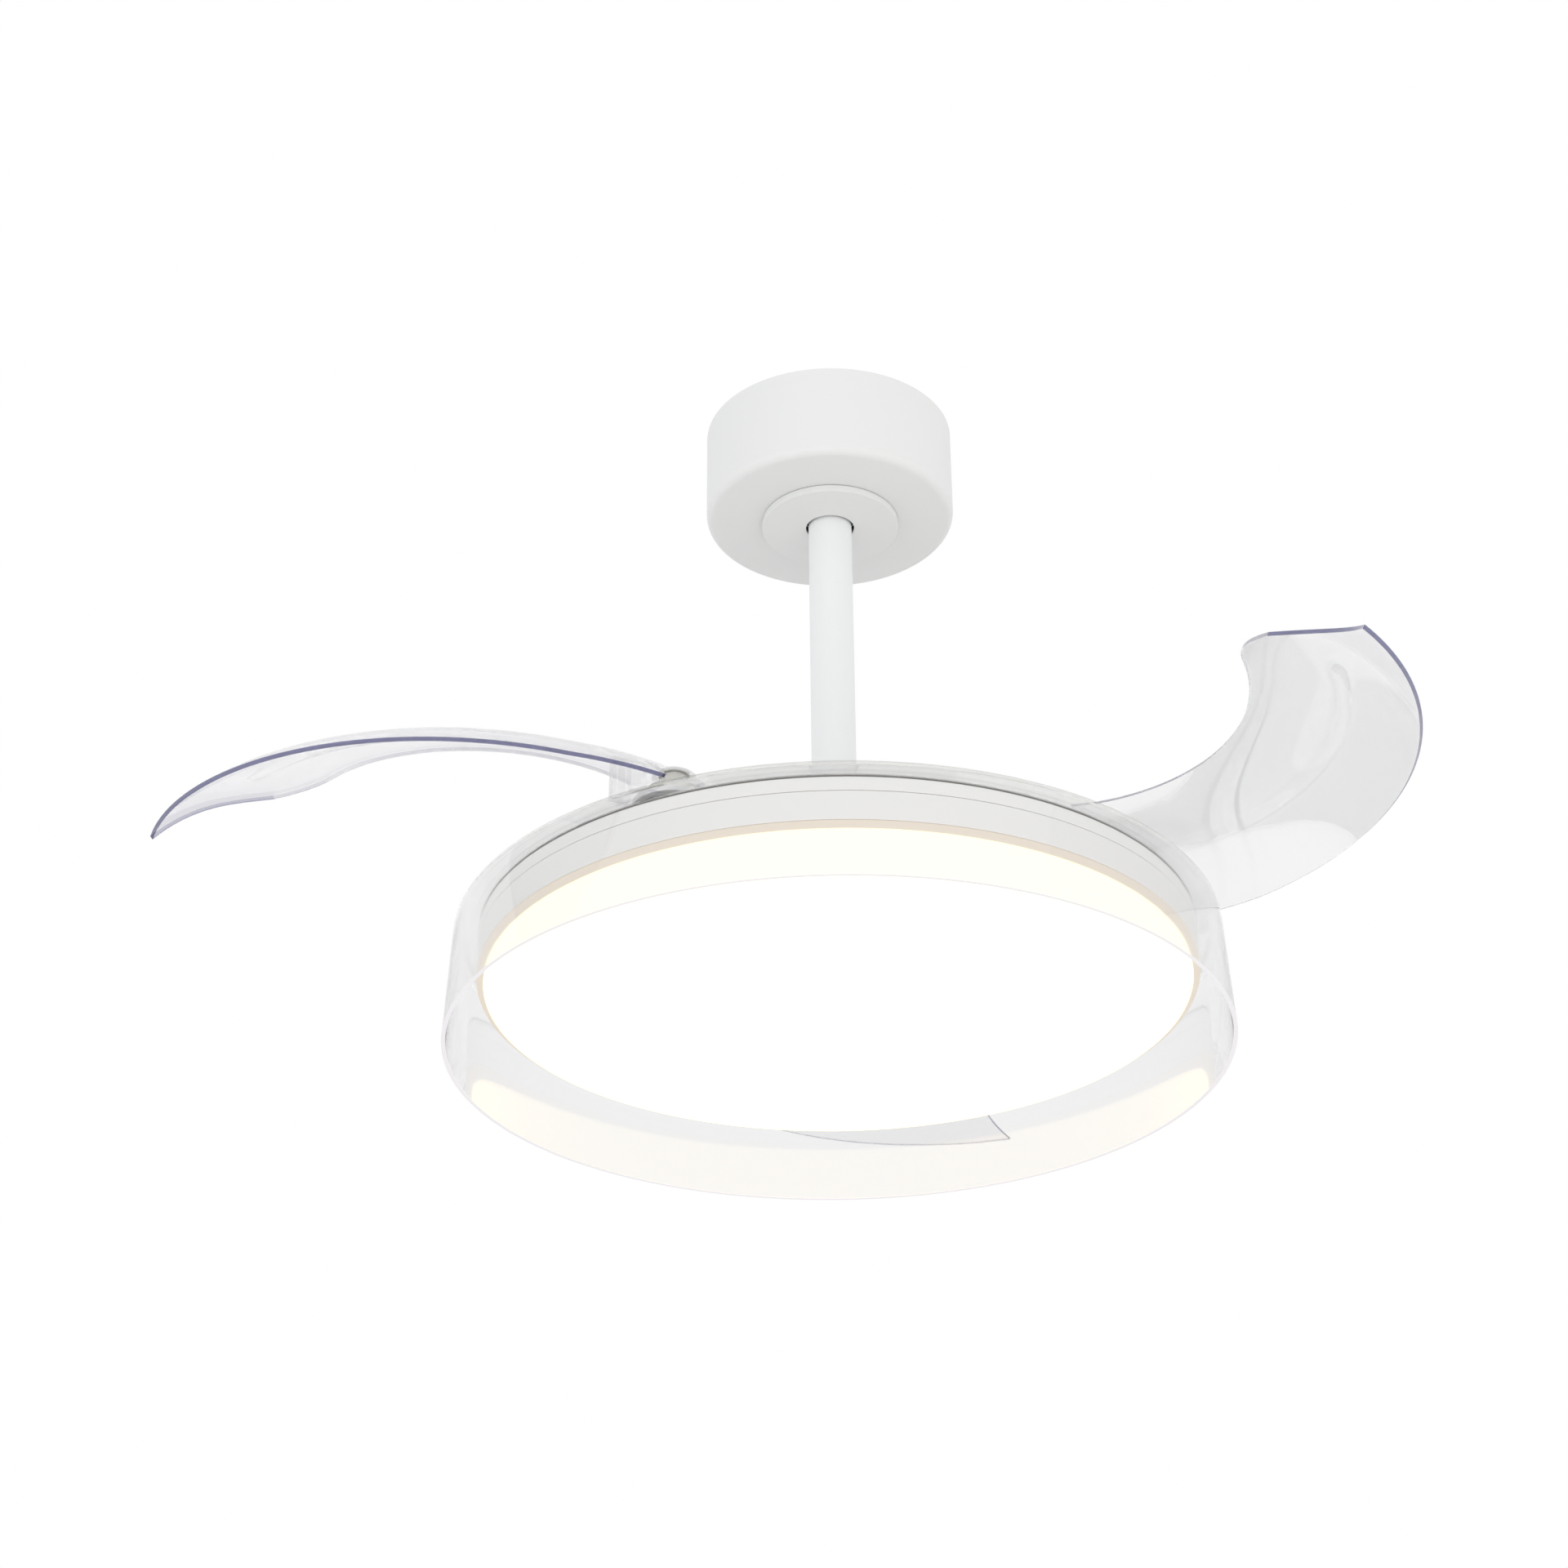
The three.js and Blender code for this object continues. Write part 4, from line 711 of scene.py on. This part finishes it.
def build_smooth_group():
    """Shades a faceted node smooth, but for the edges where its faces meet at a clear angle."""
    group = bpy.data.node_groups.new("Fan Smooth Shading", "GeometryNodeTree")
    group.interface.new_socket(name="Geometry", in_out="INPUT", socket_type="NodeSocketGeometry")
    group.interface.new_socket(name="Geometry", in_out="OUTPUT", socket_type="NodeSocketGeometry")
    start = group.nodes.new("NodeGroupInput")
    end = group.nodes.new("NodeGroupOutput")
    weld = group.nodes.new("GeometryNodeMergeByDistance")
    weld.inputs["Distance"].default_value = 1e-6
    between = group.nodes.new("GeometryNodeInputMeshEdgeAngle")
    flat_enough = group.nodes.new("FunctionNodeCompare")
    flat_enough.operation = "LESS_THAN"
    flat_enough.inputs["B"].default_value = FACET_LIMIT
    faces = group.nodes.new("GeometryNodeSetShadeSmooth")
    faces.domain = "FACE"
    edges = group.nodes.new("GeometryNodeSetShadeSmooth")
    edges.domain = "EDGE"
    group.links.new(start.outputs[0], weld.inputs["Geometry"])
    group.links.new(weld.outputs[0], edges.inputs["Geometry"])
    group.links.new(between.outputs["Unsigned Angle"], flat_enough.inputs["A"])
    group.links.new(flat_enough.outputs[0], edges.inputs["Shade Smooth"])
    group.links.new(edges.outputs[0], faces.inputs["Geometry"])
    group.links.new(faces.outputs[0], end.inputs[0])
    return group


class FAN_OT_inner_parts(bpy.types.Operator):
    """Gives the frame's own nodes their finishes"""

    bl_idname = "fan.inner_parts"
    bl_label = "Inner parts"

    def execute(self, context):
        slots = {row["node"]: row["material_slot"] for row in frame["record"]["subparts"]}
        smooth = build_smooth_group()
        for node, obj in frame["nodes"].items():
            if not obj.material_slots:
                obj.data.materials.append(None)
            for slot in obj.material_slots:
                slot.material = finish(slots[node])
            shading = obj.modifiers.new("Smooth shading", "NODES")
            shading.node_group = smooth
        return {"FINISHED"}


class FAN_OT_canopy(bpy.types.Operator):
    """Builds the canopy and the trim disc under it"""

    bl_idname = "fan.canopy"
    bl_label = "Canopy and trim"

    def execute(self, context):
        s = in_mm(context.scene.fan_hanging)
        self.canopy(s)
        self.trim(s)
        return {"FINISHED"}

    def canopy(self, s):
        low, out, bend, wall = s.canopy_bottom, s.canopy_radius, s.canopy_bend, s.canopy_wall
        top = rim_height("canopy_shell", 1)
        profile = [(s.canopy_hole, low)]
        profile += rounded_corner(out - bend, low + bend, bend, -90, 0, 8)
        profile += [(out, top), (out - wall, top)]
        profile += rounded_corner(out - bend, low + bend, bend - wall, 0, -90, 8)
        profile += [(s.canopy_hole, low + wall)]
        canopy = turned("canopy", profile, finish("white_paint"), steps=160, edge=0.3)
        place(canopy, "canopy_shell", "ceiling_mount")

    def trim(self, s):
        top = s.canopy_bottom - FIT_GAP
        low = top - s.trim_depth
        rise = rim_height("canopy_trim", 1)
        wall, collar = s.trim_wall, s.trim_collar
        profile = [
            (s.trim_hole, low), (s.trim_radius, low), (s.trim_radius, top),
            (s.trim_radius - wall, top), (s.trim_radius - wall, low + wall),
            (collar, low + wall), (collar, rise), (collar - wall, rise),
            (collar - wall, low + wall), (s.trim_hole, low + wall),
        ]
        trim = turned("trim", profile, finish("white_paint"), steps=128, edge=0.6)
        place(trim, "canopy_trim", "ceiling_mount")


class FAN_OT_rod(bpy.types.Operator):
    """Builds the downrod and the cover over its coupler"""

    bl_idname = "fan.rod"
    bl_label = "Rod and cover"

    def execute(self, context):
        s = in_mm(context.scene.fan_hanging)
        self.rod(s)
        self.cover(s)
        return {"FINISHED"}

    def rod(self, s):
        inner = s.rod_radius - s.rod_wall
        low, high = rim_height("downrod", 0), rim_height("downrod", 1)
        profile = [(inner, low), (s.rod_radius, low), (s.rod_radius, high), (inner, high)]
        # The rod's lighter paint is painted light: it stands for more light on the rod than on the
        # canopy
        rod = turned("rod", profile, finish("rod_paint"), steps=64, edge=0.5)
        place(rod, "downrod", "hung_frame")

    def cover(self, s):
        low, high = rim_height("coupler_cover", 0), rim_height("coupler_cover", 1)
        out, wall, bend = node_radius("coupler_cover"), s.cover_wall, s.cover_bend
        profile = [(out - wall, low), (out, low)]
        profile += rounded_corner(out - bend, high - bend, bend, 0, 90)
        profile += [(s.cover_hole, high), (s.cover_hole, high - wall)]
        profile += rounded_corner(out - bend, high - bend, bend - wall, 90, 0)
        cover = turned("cover_on_coupler", profile, finish("white_casing"), steps=96, edge=0.3)
        place(cover, "coupler_cover", "hung_frame")


class FAN_OT_lamp(bpy.types.Operator):
    """Builds the lamp's pan, side ring and glowing diffuser"""

    bl_idname = "fan.lamp"
    bl_label = "Lamp"

    def execute(self, context):
        s = in_mm(context.scene.fan_lamp)
        self.pan(s)
        self.side_ring(s)
        self.diffuser(s)
        return {"FINISHED"}

    def pan(self, s):
        out, wall, bend = s.lamp_radius, s.lamp_wall, s.lamp_bend
        low, high = rim_height("lamp_pan", 0), rim_height("lamp_pan", 1)
        profile = [(s.pan_hole, high - wall), (out - wall, high - wall), (out - wall, low),
                   (out, low)]
        profile += rounded_corner(out - bend, high - bend, bend, 0, 90)
        profile += [(s.pan_hole, high)]
        pan = turned("pan", profile, finish("white_casing"), steps=192, edge=0.3)
        place(pan, "lamp_pan", "hung_frame")

    def side_ring(self, s):
        out, inner = s.lamp_radius, s.lamp_radius - s.lamp_wall
        low, high = rim_height("lamp_ring", 0), rim_height("lamp_ring", 1)
        profile = [(inner, low), (out, low), (out, high), (inner, high)]
        ring = turned("side_ring", profile, finish("white_casing"), steps=192, edge=0.4)
        place(ring, "lamp_ring", "hung_frame")

    def diffuser(self, s):
        low, high = rim_height("lamp_diffuser", 0), rim_height("lamp_diffuser", 1)
        collar = s.lamp_radius - s.lamp_wall - FIT_GAP
        shelf = low + s.face_bevel
        wall = s.opal_wall
        profile = [
            (0, low), (s.face_radius, low), (s.lamp_radius, shelf), (collar, shelf),
            (collar, high), (collar - wall, high), (collar - wall, low + wall), (0, low + wall),
        ]
        diffuser = turned("diffuser", profile, finish("opal_plastic"), steps=192, edge=0.5)
        place(diffuser, "lamp_diffuser", "hung_frame")


FLANGE_LINES = (215.6, 210.4)  # radii in mm of the fine grooves in the shade's flange


class FAN_OT_shade(bpy.types.Operator):
    """Builds the clear shade and the seal in its flange"""

    bl_idname = "fan.shade"
    bl_label = "Clear shade"

    def execute(self, context):
        s = in_mm(context.scene.fan_lamp)
        self.shade(s)
        self.seal(s)
        return {"FINISHED"}

    def shade(self, s):
        wall, corner, top = s.shade_wall, s.shade_corner, s.shade_height
        flange = s.top_radius - s.flange_width
        profile = [(s.rim_radius - wall, 0.0), (s.rim_radius, 0.0), (s.top_radius, top - corner)]
        profile += rounded_corner(s.top_radius - corner, top - corner, corner, 0, 90, 8)[1:]
        for line in FLANGE_LINES:
            half = s.line_width / 2
            profile += [(line + half, top), (line, top - s.line_depth), (line - half, top)]
        seal_out = s.lamp_radius
        seal_in = seal_out - s.seal_width - 2 * FIT_GAP
        under = rim_height("shade_seal", 0)
        roof = under + s.seal_groove
        profile += [(flange, top), (flange, under), (seal_in, under), (seal_in, roof),
                    (seal_out, roof), (seal_out, under)]
        profile += rounded_corner(s.top_radius - corner, top - corner, corner - wall, 90, 0, 4)[:-1]
        shade = turned("shade", profile, finish("clear_plastic"), steps=256, edge=s.shade_edge)
        self.mark_faces(s, shade)
        place(shade, "clear_shade", "hung_frame")

    def mark_faces(self, s, shade):
        """Gives the bottom rim its pale satin band, painted light for the bright line of the clear
        rim, and the flange with its corner a clearer one.
        """
        shade.data.materials.append(finish("shade_rim"))
        shade.data.materials.append(finish("clear_flange"))
        rim_to = RIM_Z + s.rim_band * MM
        flange_from = RIM_Z + (s.shade_height - s.shade_corner) * MM
        for face in shade.data.polygons:
            if face.center.z < rim_to:
                face.material_index = 1
            elif face.center.z > flange_from:
                face.material_index = 2

    # The dark seal ring is painted shade: it gives the dark line of the gap between pan and flange
    def seal(self, s):
        low, high = rim_height("shade_seal", 0), rim_height("shade_seal", 1)
        out = s.lamp_radius - FIT_GAP
        inner = out - s.seal_width
        profile = [(inner, low), (out, low), (out, high), (inner, high)]
        seal = turned("seal", profile, finish("grey_rubber"), steps=192, edge=0.25)
        place(seal, "shade_seal", "hung_frame")


BULGE_SCALE = 6.75  # brings the highest value of x (1 - x)^2 to 1
TIP_SHARE = 0.14  # last share of the blade, over which its inner corner is rounded off
TIP_ROUNDING = 0.28  # share of its width that the corner loses at the tip
TIP_POWER = 4.6  # how late the rounding sets in
TIP_CUT_BACK = 0.03  # share of its length that the tip is cut back where it bulges most
FADE_SHARE = 0.2  # last share of the blade, over which the camber fades
FADE_LOSS = 0.25  # share of the camber that is lost at the tip
RIB_FALL = 1.25  # how steeply the rib's sides fall
RIB_RUN_OUT = 2  # how much longer the rib's ends run out than its sides
ROW_CROWDING = 1.3  # how much closer the rows of faces stand at the tip
EDGE_SHARE = 1e-6  # how near an edge of the grid a vertex has to be to lie on it
SIDE_ANGLE = math.radians(50)  # the plate's sides meet its faces at more
BLADE_LOW = 84.0  # what lies lower, in mm above the rim, is boss or web
BOSS_MARGIN = 0.2  # how far outside the boss, in mm, faces still take its finish
ABOVE_BLADES = 160.0  # a height in mm above everything of a blade
BAR_STEPS = 48
WEB_ROWS = 16
WEBS = ((-7.6, -11.2, 70.5), (-4.7, -7.8, 79.6))  # azimuth from and to, and height of the foot


def blade_point(s, along, across):
    """A point of the folded blade's middle surface, in mm.

    along runs from root to tip, across from the outer edge to the inner edge.
    """
    near_tip = max(0.0, (along - (1 - TIP_SHARE)) / TIP_SHARE)
    reach = across * (1 - TIP_ROUNDING * near_tip ** TIP_POWER)
    bulge = BULGE_SCALE * reach * (1 - reach) ** 2
    spot = along - TIP_CUT_BACK * bulge * near_tip * near_tip
    outer = polar(s.outer_radius, s.outer_start - s.outer_sweep * spot)
    inner = polar(s.inner_radius, s.inner_start - s.inner_sweep * spot)
    inner += Vector((s.inner_centre_x, s.inner_centre_y))
    climb = max(0.0, (spot - s.level_share) / (1 - s.level_share))
    outer_z = s.outer_height + s.outer_climb * climb
    inner_z = s.inner_height + s.inner_climb * spot * spot
    fade = max(0.0, (along - (1 - FADE_SHARE)) / FADE_SHARE)
    camber = (s.camber - s.camber_loss * spot) * (1 - FADE_LOSS * fade * fade)
    flat = outer.lerp(inner, reach)
    height = SHADE_TOP + outer_z + (inner_z - outer_z) * reach + bulge * camber
    return Vector((flat.x, flat.y, height))


def polar(radius, azimuth):
    return Vector((radius * math.cos(azimuth), radius * math.sin(azimuth)))


def blade_normal(s, along, across):
    """The upward normal of the blade's middle surface."""
    step = 1e-3
    lengthwise = (blade_point(s, min(1.0, along + step), across)
                  - blade_point(s, max(0.0, along - step), across))
    crosswise = (blade_point(s, along, min(1.0, across + step))
                 - blade_point(s, along, max(0.0, across - step)))
    normal = lengthwise.cross(crosswise).normalized()
    return normal if normal.z > 0 else -normal


def rib_height(s, point, along):
    """How far the rib stands out under the blade at a point of its middle surface, in mm."""
    from_middle = (math.hypot(point.x, point.y) - s.rib_radius) / s.rib_half_width
    azimuth = s.outer_start - s.outer_sweep * along
    past_end = max(0.0, s.rib_end - azimuth) + max(0.0, azimuth - s.rib_start)
    run_out = past_end * s.rib_radius / (RIB_RUN_OUT * s.rib_half_width)
    distance = math.hypot(from_middle, run_out)
    if distance >= 1:
        return 0.0
    return s.rib_depth * (1 - distance * distance) ** RIB_FALL


def blade_plate(s, material):
    """The blade's curved plate: a grid bent to its surface, with the rib on its lower side."""
    bm = bmesh.new()
    bmesh.ops.create_grid(bm, x_segments=s.rows, y_segments=s.columns, size=0.5)
    shares = {}
    for vert in bm.verts:
        along = vert.co.x + 0.5
        across = vert.co.y + 0.5
        shares[vert] = (1 - (1 - along) ** ROW_CROWDING, across)
    top = list(bm.verts)
    lower = bmesh.ops.extrude_face_region(bm, geom=list(bm.faces))["geom"]
    lower = [item for item in lower if isinstance(item, bmesh.types.BMVert)]
    outer_verts = set()
    inner_verts = set()
    for over, under in zip(sorted(top, key=grid_key), sorted(lower, key=grid_key)):
        along, across = shares[over]
        if across < EDGE_SHARE or along > 1 - EDGE_SHARE:
            outer_verts.update((over, under))
        if across > 1 - EDGE_SHARE:
            inner_verts.update((over, under))
        middle = blade_point(s, along, across)
        normal = blade_normal(s, along, across)
        half = s.thickness / 2
        over.co = to_frame(middle + normal * half)
        under.co = to_frame(middle - normal * (half + rib_height(s, middle, along)))
    bmesh.ops.recalc_face_normals(bm, faces=bm.faces)
    # The outer edges and tip get the rim tint and the inner edges the lip: painted shade on the edges
    for face in bm.faces:
        if is_side(face) and outer_verts.issuperset(face.verts):
            face.material_index = 1
        elif inner_verts.issuperset(face.verts):
            face.material_index = 2
    spread_rim(round_edges(bm, s.edge_rounding, SIDE_ANGLE))
    plate = finish_mesh(bm, "blade_plate", material, flat=True)
    plate.data.materials.append(finish("blade_rim"))
    plate.data.materials.append(finish("blade_lip"))
    return plate


def spread_rim(faces):
    """Gives the painted shade of the dark edges to the rounded strips right beside them."""
    for face in faces:
        face.material_index = 0
    beside = [face for face in faces
              if any(n.material_index == 1 for e in face.edges for n in e.link_faces)]
    for face in beside:
        face.material_index = 1


def is_side(face):
    """True for the faces that close the plate between its two sides."""
    return sum(edge.calc_face_angle() > SIDE_ANGLE for edge in face.edges) >= 2


def grid_key(vert):
    return (round(vert.co.x, 5), round(vert.co.y, 5))


def to_frame(point):
    """A point in mm above the shade's rim as a point of the frame."""
    return Vector((point.x * MM, point.y * MM, RIM_Z + point.z * MM))


def upright(name, radius, low, high, centre):
    """A round bar in mm standing at a place on the X axis."""
    bm = bmesh.new()
    bmesh.ops.create_cone(bm, cap_ends=True, segments=BAR_STEPS, radius1=radius * MM,
                          radius2=radius * MM, depth=(high - low) * MM)
    bmesh.ops.translate(bm, verts=bm.verts,
                        vec=(centre * MM, 0, RIM_Z + (low + high) / 2 * MM))
    return finish_mesh(bm, name, finish("clear_blade"), flat=True)


class FAN_OT_blades(bpy.types.Operator):
    """Builds the three clear blades, open, with their bosses and webs"""

    bl_idname = "fan.blades"
    bl_label = "Clear blades"

    def execute(self, context):
        s = in_mm(context.scene.fan_blade)
        plate = blade_plate(s, finish("clear_blade"))
        low, top, pivot = rim_height("blade_pinion_1", 0), s.boss_top, s.pivot_radius
        for start, end, foot in WEBS:
            combine(plate, self.web(s, math.radians(start), math.radians(end), foot), "UNION")
        combine(plate, upright("boss", s.boss_radius, low, top, pivot), "UNION")
        combine(plate, upright("well", s.well_radius, top, ABOVE_BLADES, pivot), "DIFFERENCE")
        combine(plate, upright("bore", s.bore_radius, low - 1, top + 1, pivot), "DIFFERENCE")
        self.mark_boss(s, plate)
        self.crease(plate)
        back = Matrix.Translation((-s.pivot_radius * MM, 0, 0))
        unfold = Matrix.Rotation(s.swing, 4, "Z")
        for index in range(BLADES):
            node = f"blade_{index + 1}"
            blade = copied(plate, "open_" + node, pivot_place(s, index) @ unfold @ back)
            even_normals(blade)
            place(blade, node, node)
        bpy.data.objects.remove(plate)
        return {"FINISHED"}

    def mark_boss(self, s, plate):
        """Shades the blade smooth and gives the faces of its boss and web their finish."""
        plate.data.materials.append(finish("clear_boss"))
        for face in plate.data.polygons:
            face.use_smooth = True
            height = (face.center.z - RIM_Z) / MM
            reach = math.hypot(face.center.x / MM - s.pivot_radius, face.center.y / MM)
            if height < BLADE_LOW or reach < s.boss_radius + BOSS_MARGIN:
                face.material_index = len(plate.data.materials) - 1

    def crease(self, plate):
        """Keeps the edges sharp where the blade's faces meet at a clear angle."""
        bm = bmesh.new()
        bm.from_mesh(plate.data)
        for edge in bm.edges:
            edge.smooth = not (edge.is_manifold and edge.calc_face_angle() > CREASE)
        bm.to_mesh(plate.data)
        bm.free()

    def web(self, s, start, end, foot):
        """A wall that comes down from the root beside the boss, bent round the axis."""
        bm = bmesh.new()
        bmesh.ops.create_grid(bm, x_segments=WEB_ROWS, y_segments=1, size=0.5)
        for vert in bm.verts:
            azimuth = start + (end - start) * (vert.co.x + 0.5)
            flat = polar(s.web_radius + s.web_wall * vert.co.y, azimuth)
            vert.co = to_frame(Vector((flat.x, flat.y, foot)))
        top = bmesh.ops.extrude_face_region(bm, geom=list(bm.faces))["geom"]
        for vert in (item for item in top if isinstance(item, bmesh.types.BMVert)):
            x, y = vert.co.x / MM, vert.co.y / MM
            vert.co.z = RIM_Z + self.middle_height(s, x, y) * MM
        bmesh.ops.recalc_face_normals(bm, faces=bm.faces)
        return finish_mesh(bm, "web", finish("clear_blade"), flat=True)

    def middle_height(self, s, x, y):
        """Height of the blade's middle surface over a point near its root, in mm."""
        wanted_radius, wanted_azimuth = math.hypot(x, y), math.atan2(y, x)
        along = (s.outer_start - wanted_azimuth) / s.outer_sweep
        across = 0.1
        step = 0.01
        for _ in range(12):
            here = blade_point(s, along, across)
            there = blade_point(s, along, across + step)
            radius = math.hypot(here.x, here.y)
            slope = (math.hypot(there.x, there.y) - radius) / step
            across += (wanted_radius - radius) / slope
            along += (math.atan2(here.y, here.x) - wanted_azimuth) / s.outer_sweep
        return blade_point(s, along, across).z


# Each soft light with its place in metres, its share of the light, its width and its colour.
SOFT_LIGHTS = {
    "soft_left": ((-2.0, -1.2, -0.4), 0.26, 1.6, (0.97, 0.985, 1.0)),
    "soft_right": ((1.9, -1.5, -0.4), 0.26, 1.6, (1.0, 0.99, 0.965)),
    "soft_front": ((0.0, -2.6, -0.2), 0.1, 1.6, (1.0, 1.0, 0.99)),
    "soft_under": ((0.2, -1.3, -2.0), 0.4, 2.0, (1.0, 0.985, 0.95)),
}
LIT_SPOT = Vector((0, 0, -0.25))
FLOOR_HALF_WIDTH = 20.0  # metres
SENSOR_WIDTH = 36.0  # millimetres


class FAN_OT_stage(bpy.types.Operator):
    """Sets the floor, the backdrop, the soft lights and the camera"""

    bl_idname = "fan.stage"
    bl_label = "Stage"

    def execute(self, context):
        s = context.scene.fan_stage
        self.floor(s)
        self.backdrop(context.scene, s)
        self.lights(s)
        self.camera(context.scene, s)
        context.scene.view_settings.view_transform = "Standard"
        return {"FINISHED"}

    def floor(self, s):
        bm = bmesh.new()
        bmesh.ops.create_grid(bm, x_segments=8, y_segments=8, size=FLOOR_HALF_WIDTH)
        bmesh.ops.translate(bm, verts=bm.verts, vec=(0, 0, -s.floor_depth))
        material, tree, shader = new_material("Pale floor")
        clouds = noise_node(tree, object_coordinates(tree), 2.0)
        tree.links.new(colour_mix(tree, clouds, (0.95, 0.95, 0.95), (0.94, 0.94, 0.94)),
                       shader.inputs["Base Color"])
        shader.inputs["Roughness"].default_value = 0.9
        floor = finish_mesh(bm, "floor", material, flat=True)
        floor.visible_glossy = False

    def backdrop(self, scene, s):
        """Plain white where it is seen, and a little cooler and weaker as a light."""
        world = bpy.data.worlds.new("Pale surroundings")
        scene.world = world
        world.use_nodes = True
        tree = world.node_tree
        even = tree.nodes["Background"]
        even.inputs["Color"].default_value = (0.97, 0.985, 1.0, 1.0)
        even.inputs["Strength"].default_value = s.ambient
        white = tree.nodes.new("ShaderNodeBackground")
        white.inputs["Color"].default_value = (1, 1, 1, 1)
        white.inputs["Strength"].default_value = 1.0
        path = tree.nodes.new("ShaderNodeLightPath")
        seen = math_node(tree, "MAXIMUM", path.outputs["Is Camera Ray"],
                         path.outputs["Is Glossy Ray"])
        seen = math_node(tree, "MAXIMUM", seen, path.outputs["Is Transmission Ray"])
        blend = tree.nodes.new("ShaderNodeMixShader")
        tree.links.new(seen, blend.inputs["Fac"])
        tree.links.new(even.outputs[0], blend.inputs[1])
        tree.links.new(white.outputs[0], blend.inputs[2])
        tree.links.new(blend.outputs[0], tree.nodes["World Output"].inputs["Surface"])

    def lights(self, s):
        for name, (spot, share, width, tone) in SOFT_LIGHTS.items():
            lamp = bpy.data.lights.new(name, "AREA")
            lamp.shape = "DISK"
            lamp.size = width
            lamp.energy = s.soft_light * share
            lamp.color = tone
            obj = bpy.data.objects.new(name, lamp)
            obj.location = spot
            obj.rotation_euler = (LIT_SPOT - Vector(spot)).to_track_quat("-Z", "Y").to_euler()
            obj.visible_glossy = False
            obj.visible_transmission = False
            bpy.context.scene.collection.objects.link(obj)

    def camera(self, scene, s):
        """Places the camera and turns it by its yaw, then its pitch, then its roll."""
        ahead = Vector((math.sin(s.yaw) * math.cos(s.pitch), math.cos(s.yaw) * math.cos(s.pitch),
                        math.sin(s.pitch)))
        level = Vector((math.cos(s.yaw), -math.sin(s.yaw), 0))
        above = level.cross(ahead)
        right = level * math.cos(s.roll) + above * math.sin(s.roll)
        up = above * math.cos(s.roll) - level * math.sin(s.roll)
        data = bpy.data.cameras.new("camera")
        data.lens = s.lens
        data.sensor_width = SENSOR_WIDTH
        camera = bpy.data.objects.new("camera", data)
        turn = Matrix((right, up, -ahead)).transposed().to_4x4()
        stand = Matrix.Translation((0, -s.camera_back, RIM_Z - s.camera_below))
        camera.matrix_world = stand @ turn
        scene.collection.objects.link(camera)
        scene.camera = camera


class FAN_PT_panel(bpy.types.Panel):
    """Lists the steps that build the fan"""

    bl_label = "Ceiling Fan"
    bl_idname = "FAN_PT_panel"
    bl_space_type = "VIEW_3D"
    bl_region_type = "UI"
    bl_category = "Ceiling Fan"

    def draw(self, context):
        for group in SETTINGS:
            box = self.layout.box()
            for prop in getattr(context.scene, group).bl_rna.properties:
                if prop.identifier not in ("rna_type", "name"):
                    box.prop(getattr(context.scene, group), prop.identifier)
        for step in STEPS:
            self.layout.operator(step.bl_idname)


SETTINGS = {
    "fan_hanging": FanHangingSettings,
    "fan_lamp": FanLampSettings,
    "fan_blade": FanBladeSettings,
    "fan_finish": FanFinishSettings,
    "fan_stage": FanStageSettings,
}

STEPS = (
    FAN_OT_finishes,
    FAN_OT_inner_parts,
    FAN_OT_canopy,
    FAN_OT_rod,
    FAN_OT_lamp,
    FAN_OT_shade,
    FAN_OT_blades,
    FAN_OT_stage,
)


def register():
    for group in SETTINGS.values():
        bpy.utils.register_class(group)
    for step in STEPS:
        bpy.utils.register_class(step)
    bpy.utils.register_class(FAN_PT_panel)
    for name, group in SETTINGS.items():
        setattr(bpy.types.Scene, name, PointerProperty(type=group))


def unregister():
    for name in SETTINGS:
        delattr(bpy.types.Scene, name)
    bpy.utils.unregister_class(FAN_PT_panel)
    for step in reversed(STEPS):
        bpy.utils.unregister_class(step)
    for group in reversed(list(SETTINGS.values())):
        bpy.utils.unregister_class(group)


def main():
    register()
    for step in STEPS:
        space, name = step.bl_idname.split(".")
        getattr(getattr(bpy.ops, space), name)()


if __name__ == "__main__":
    main()
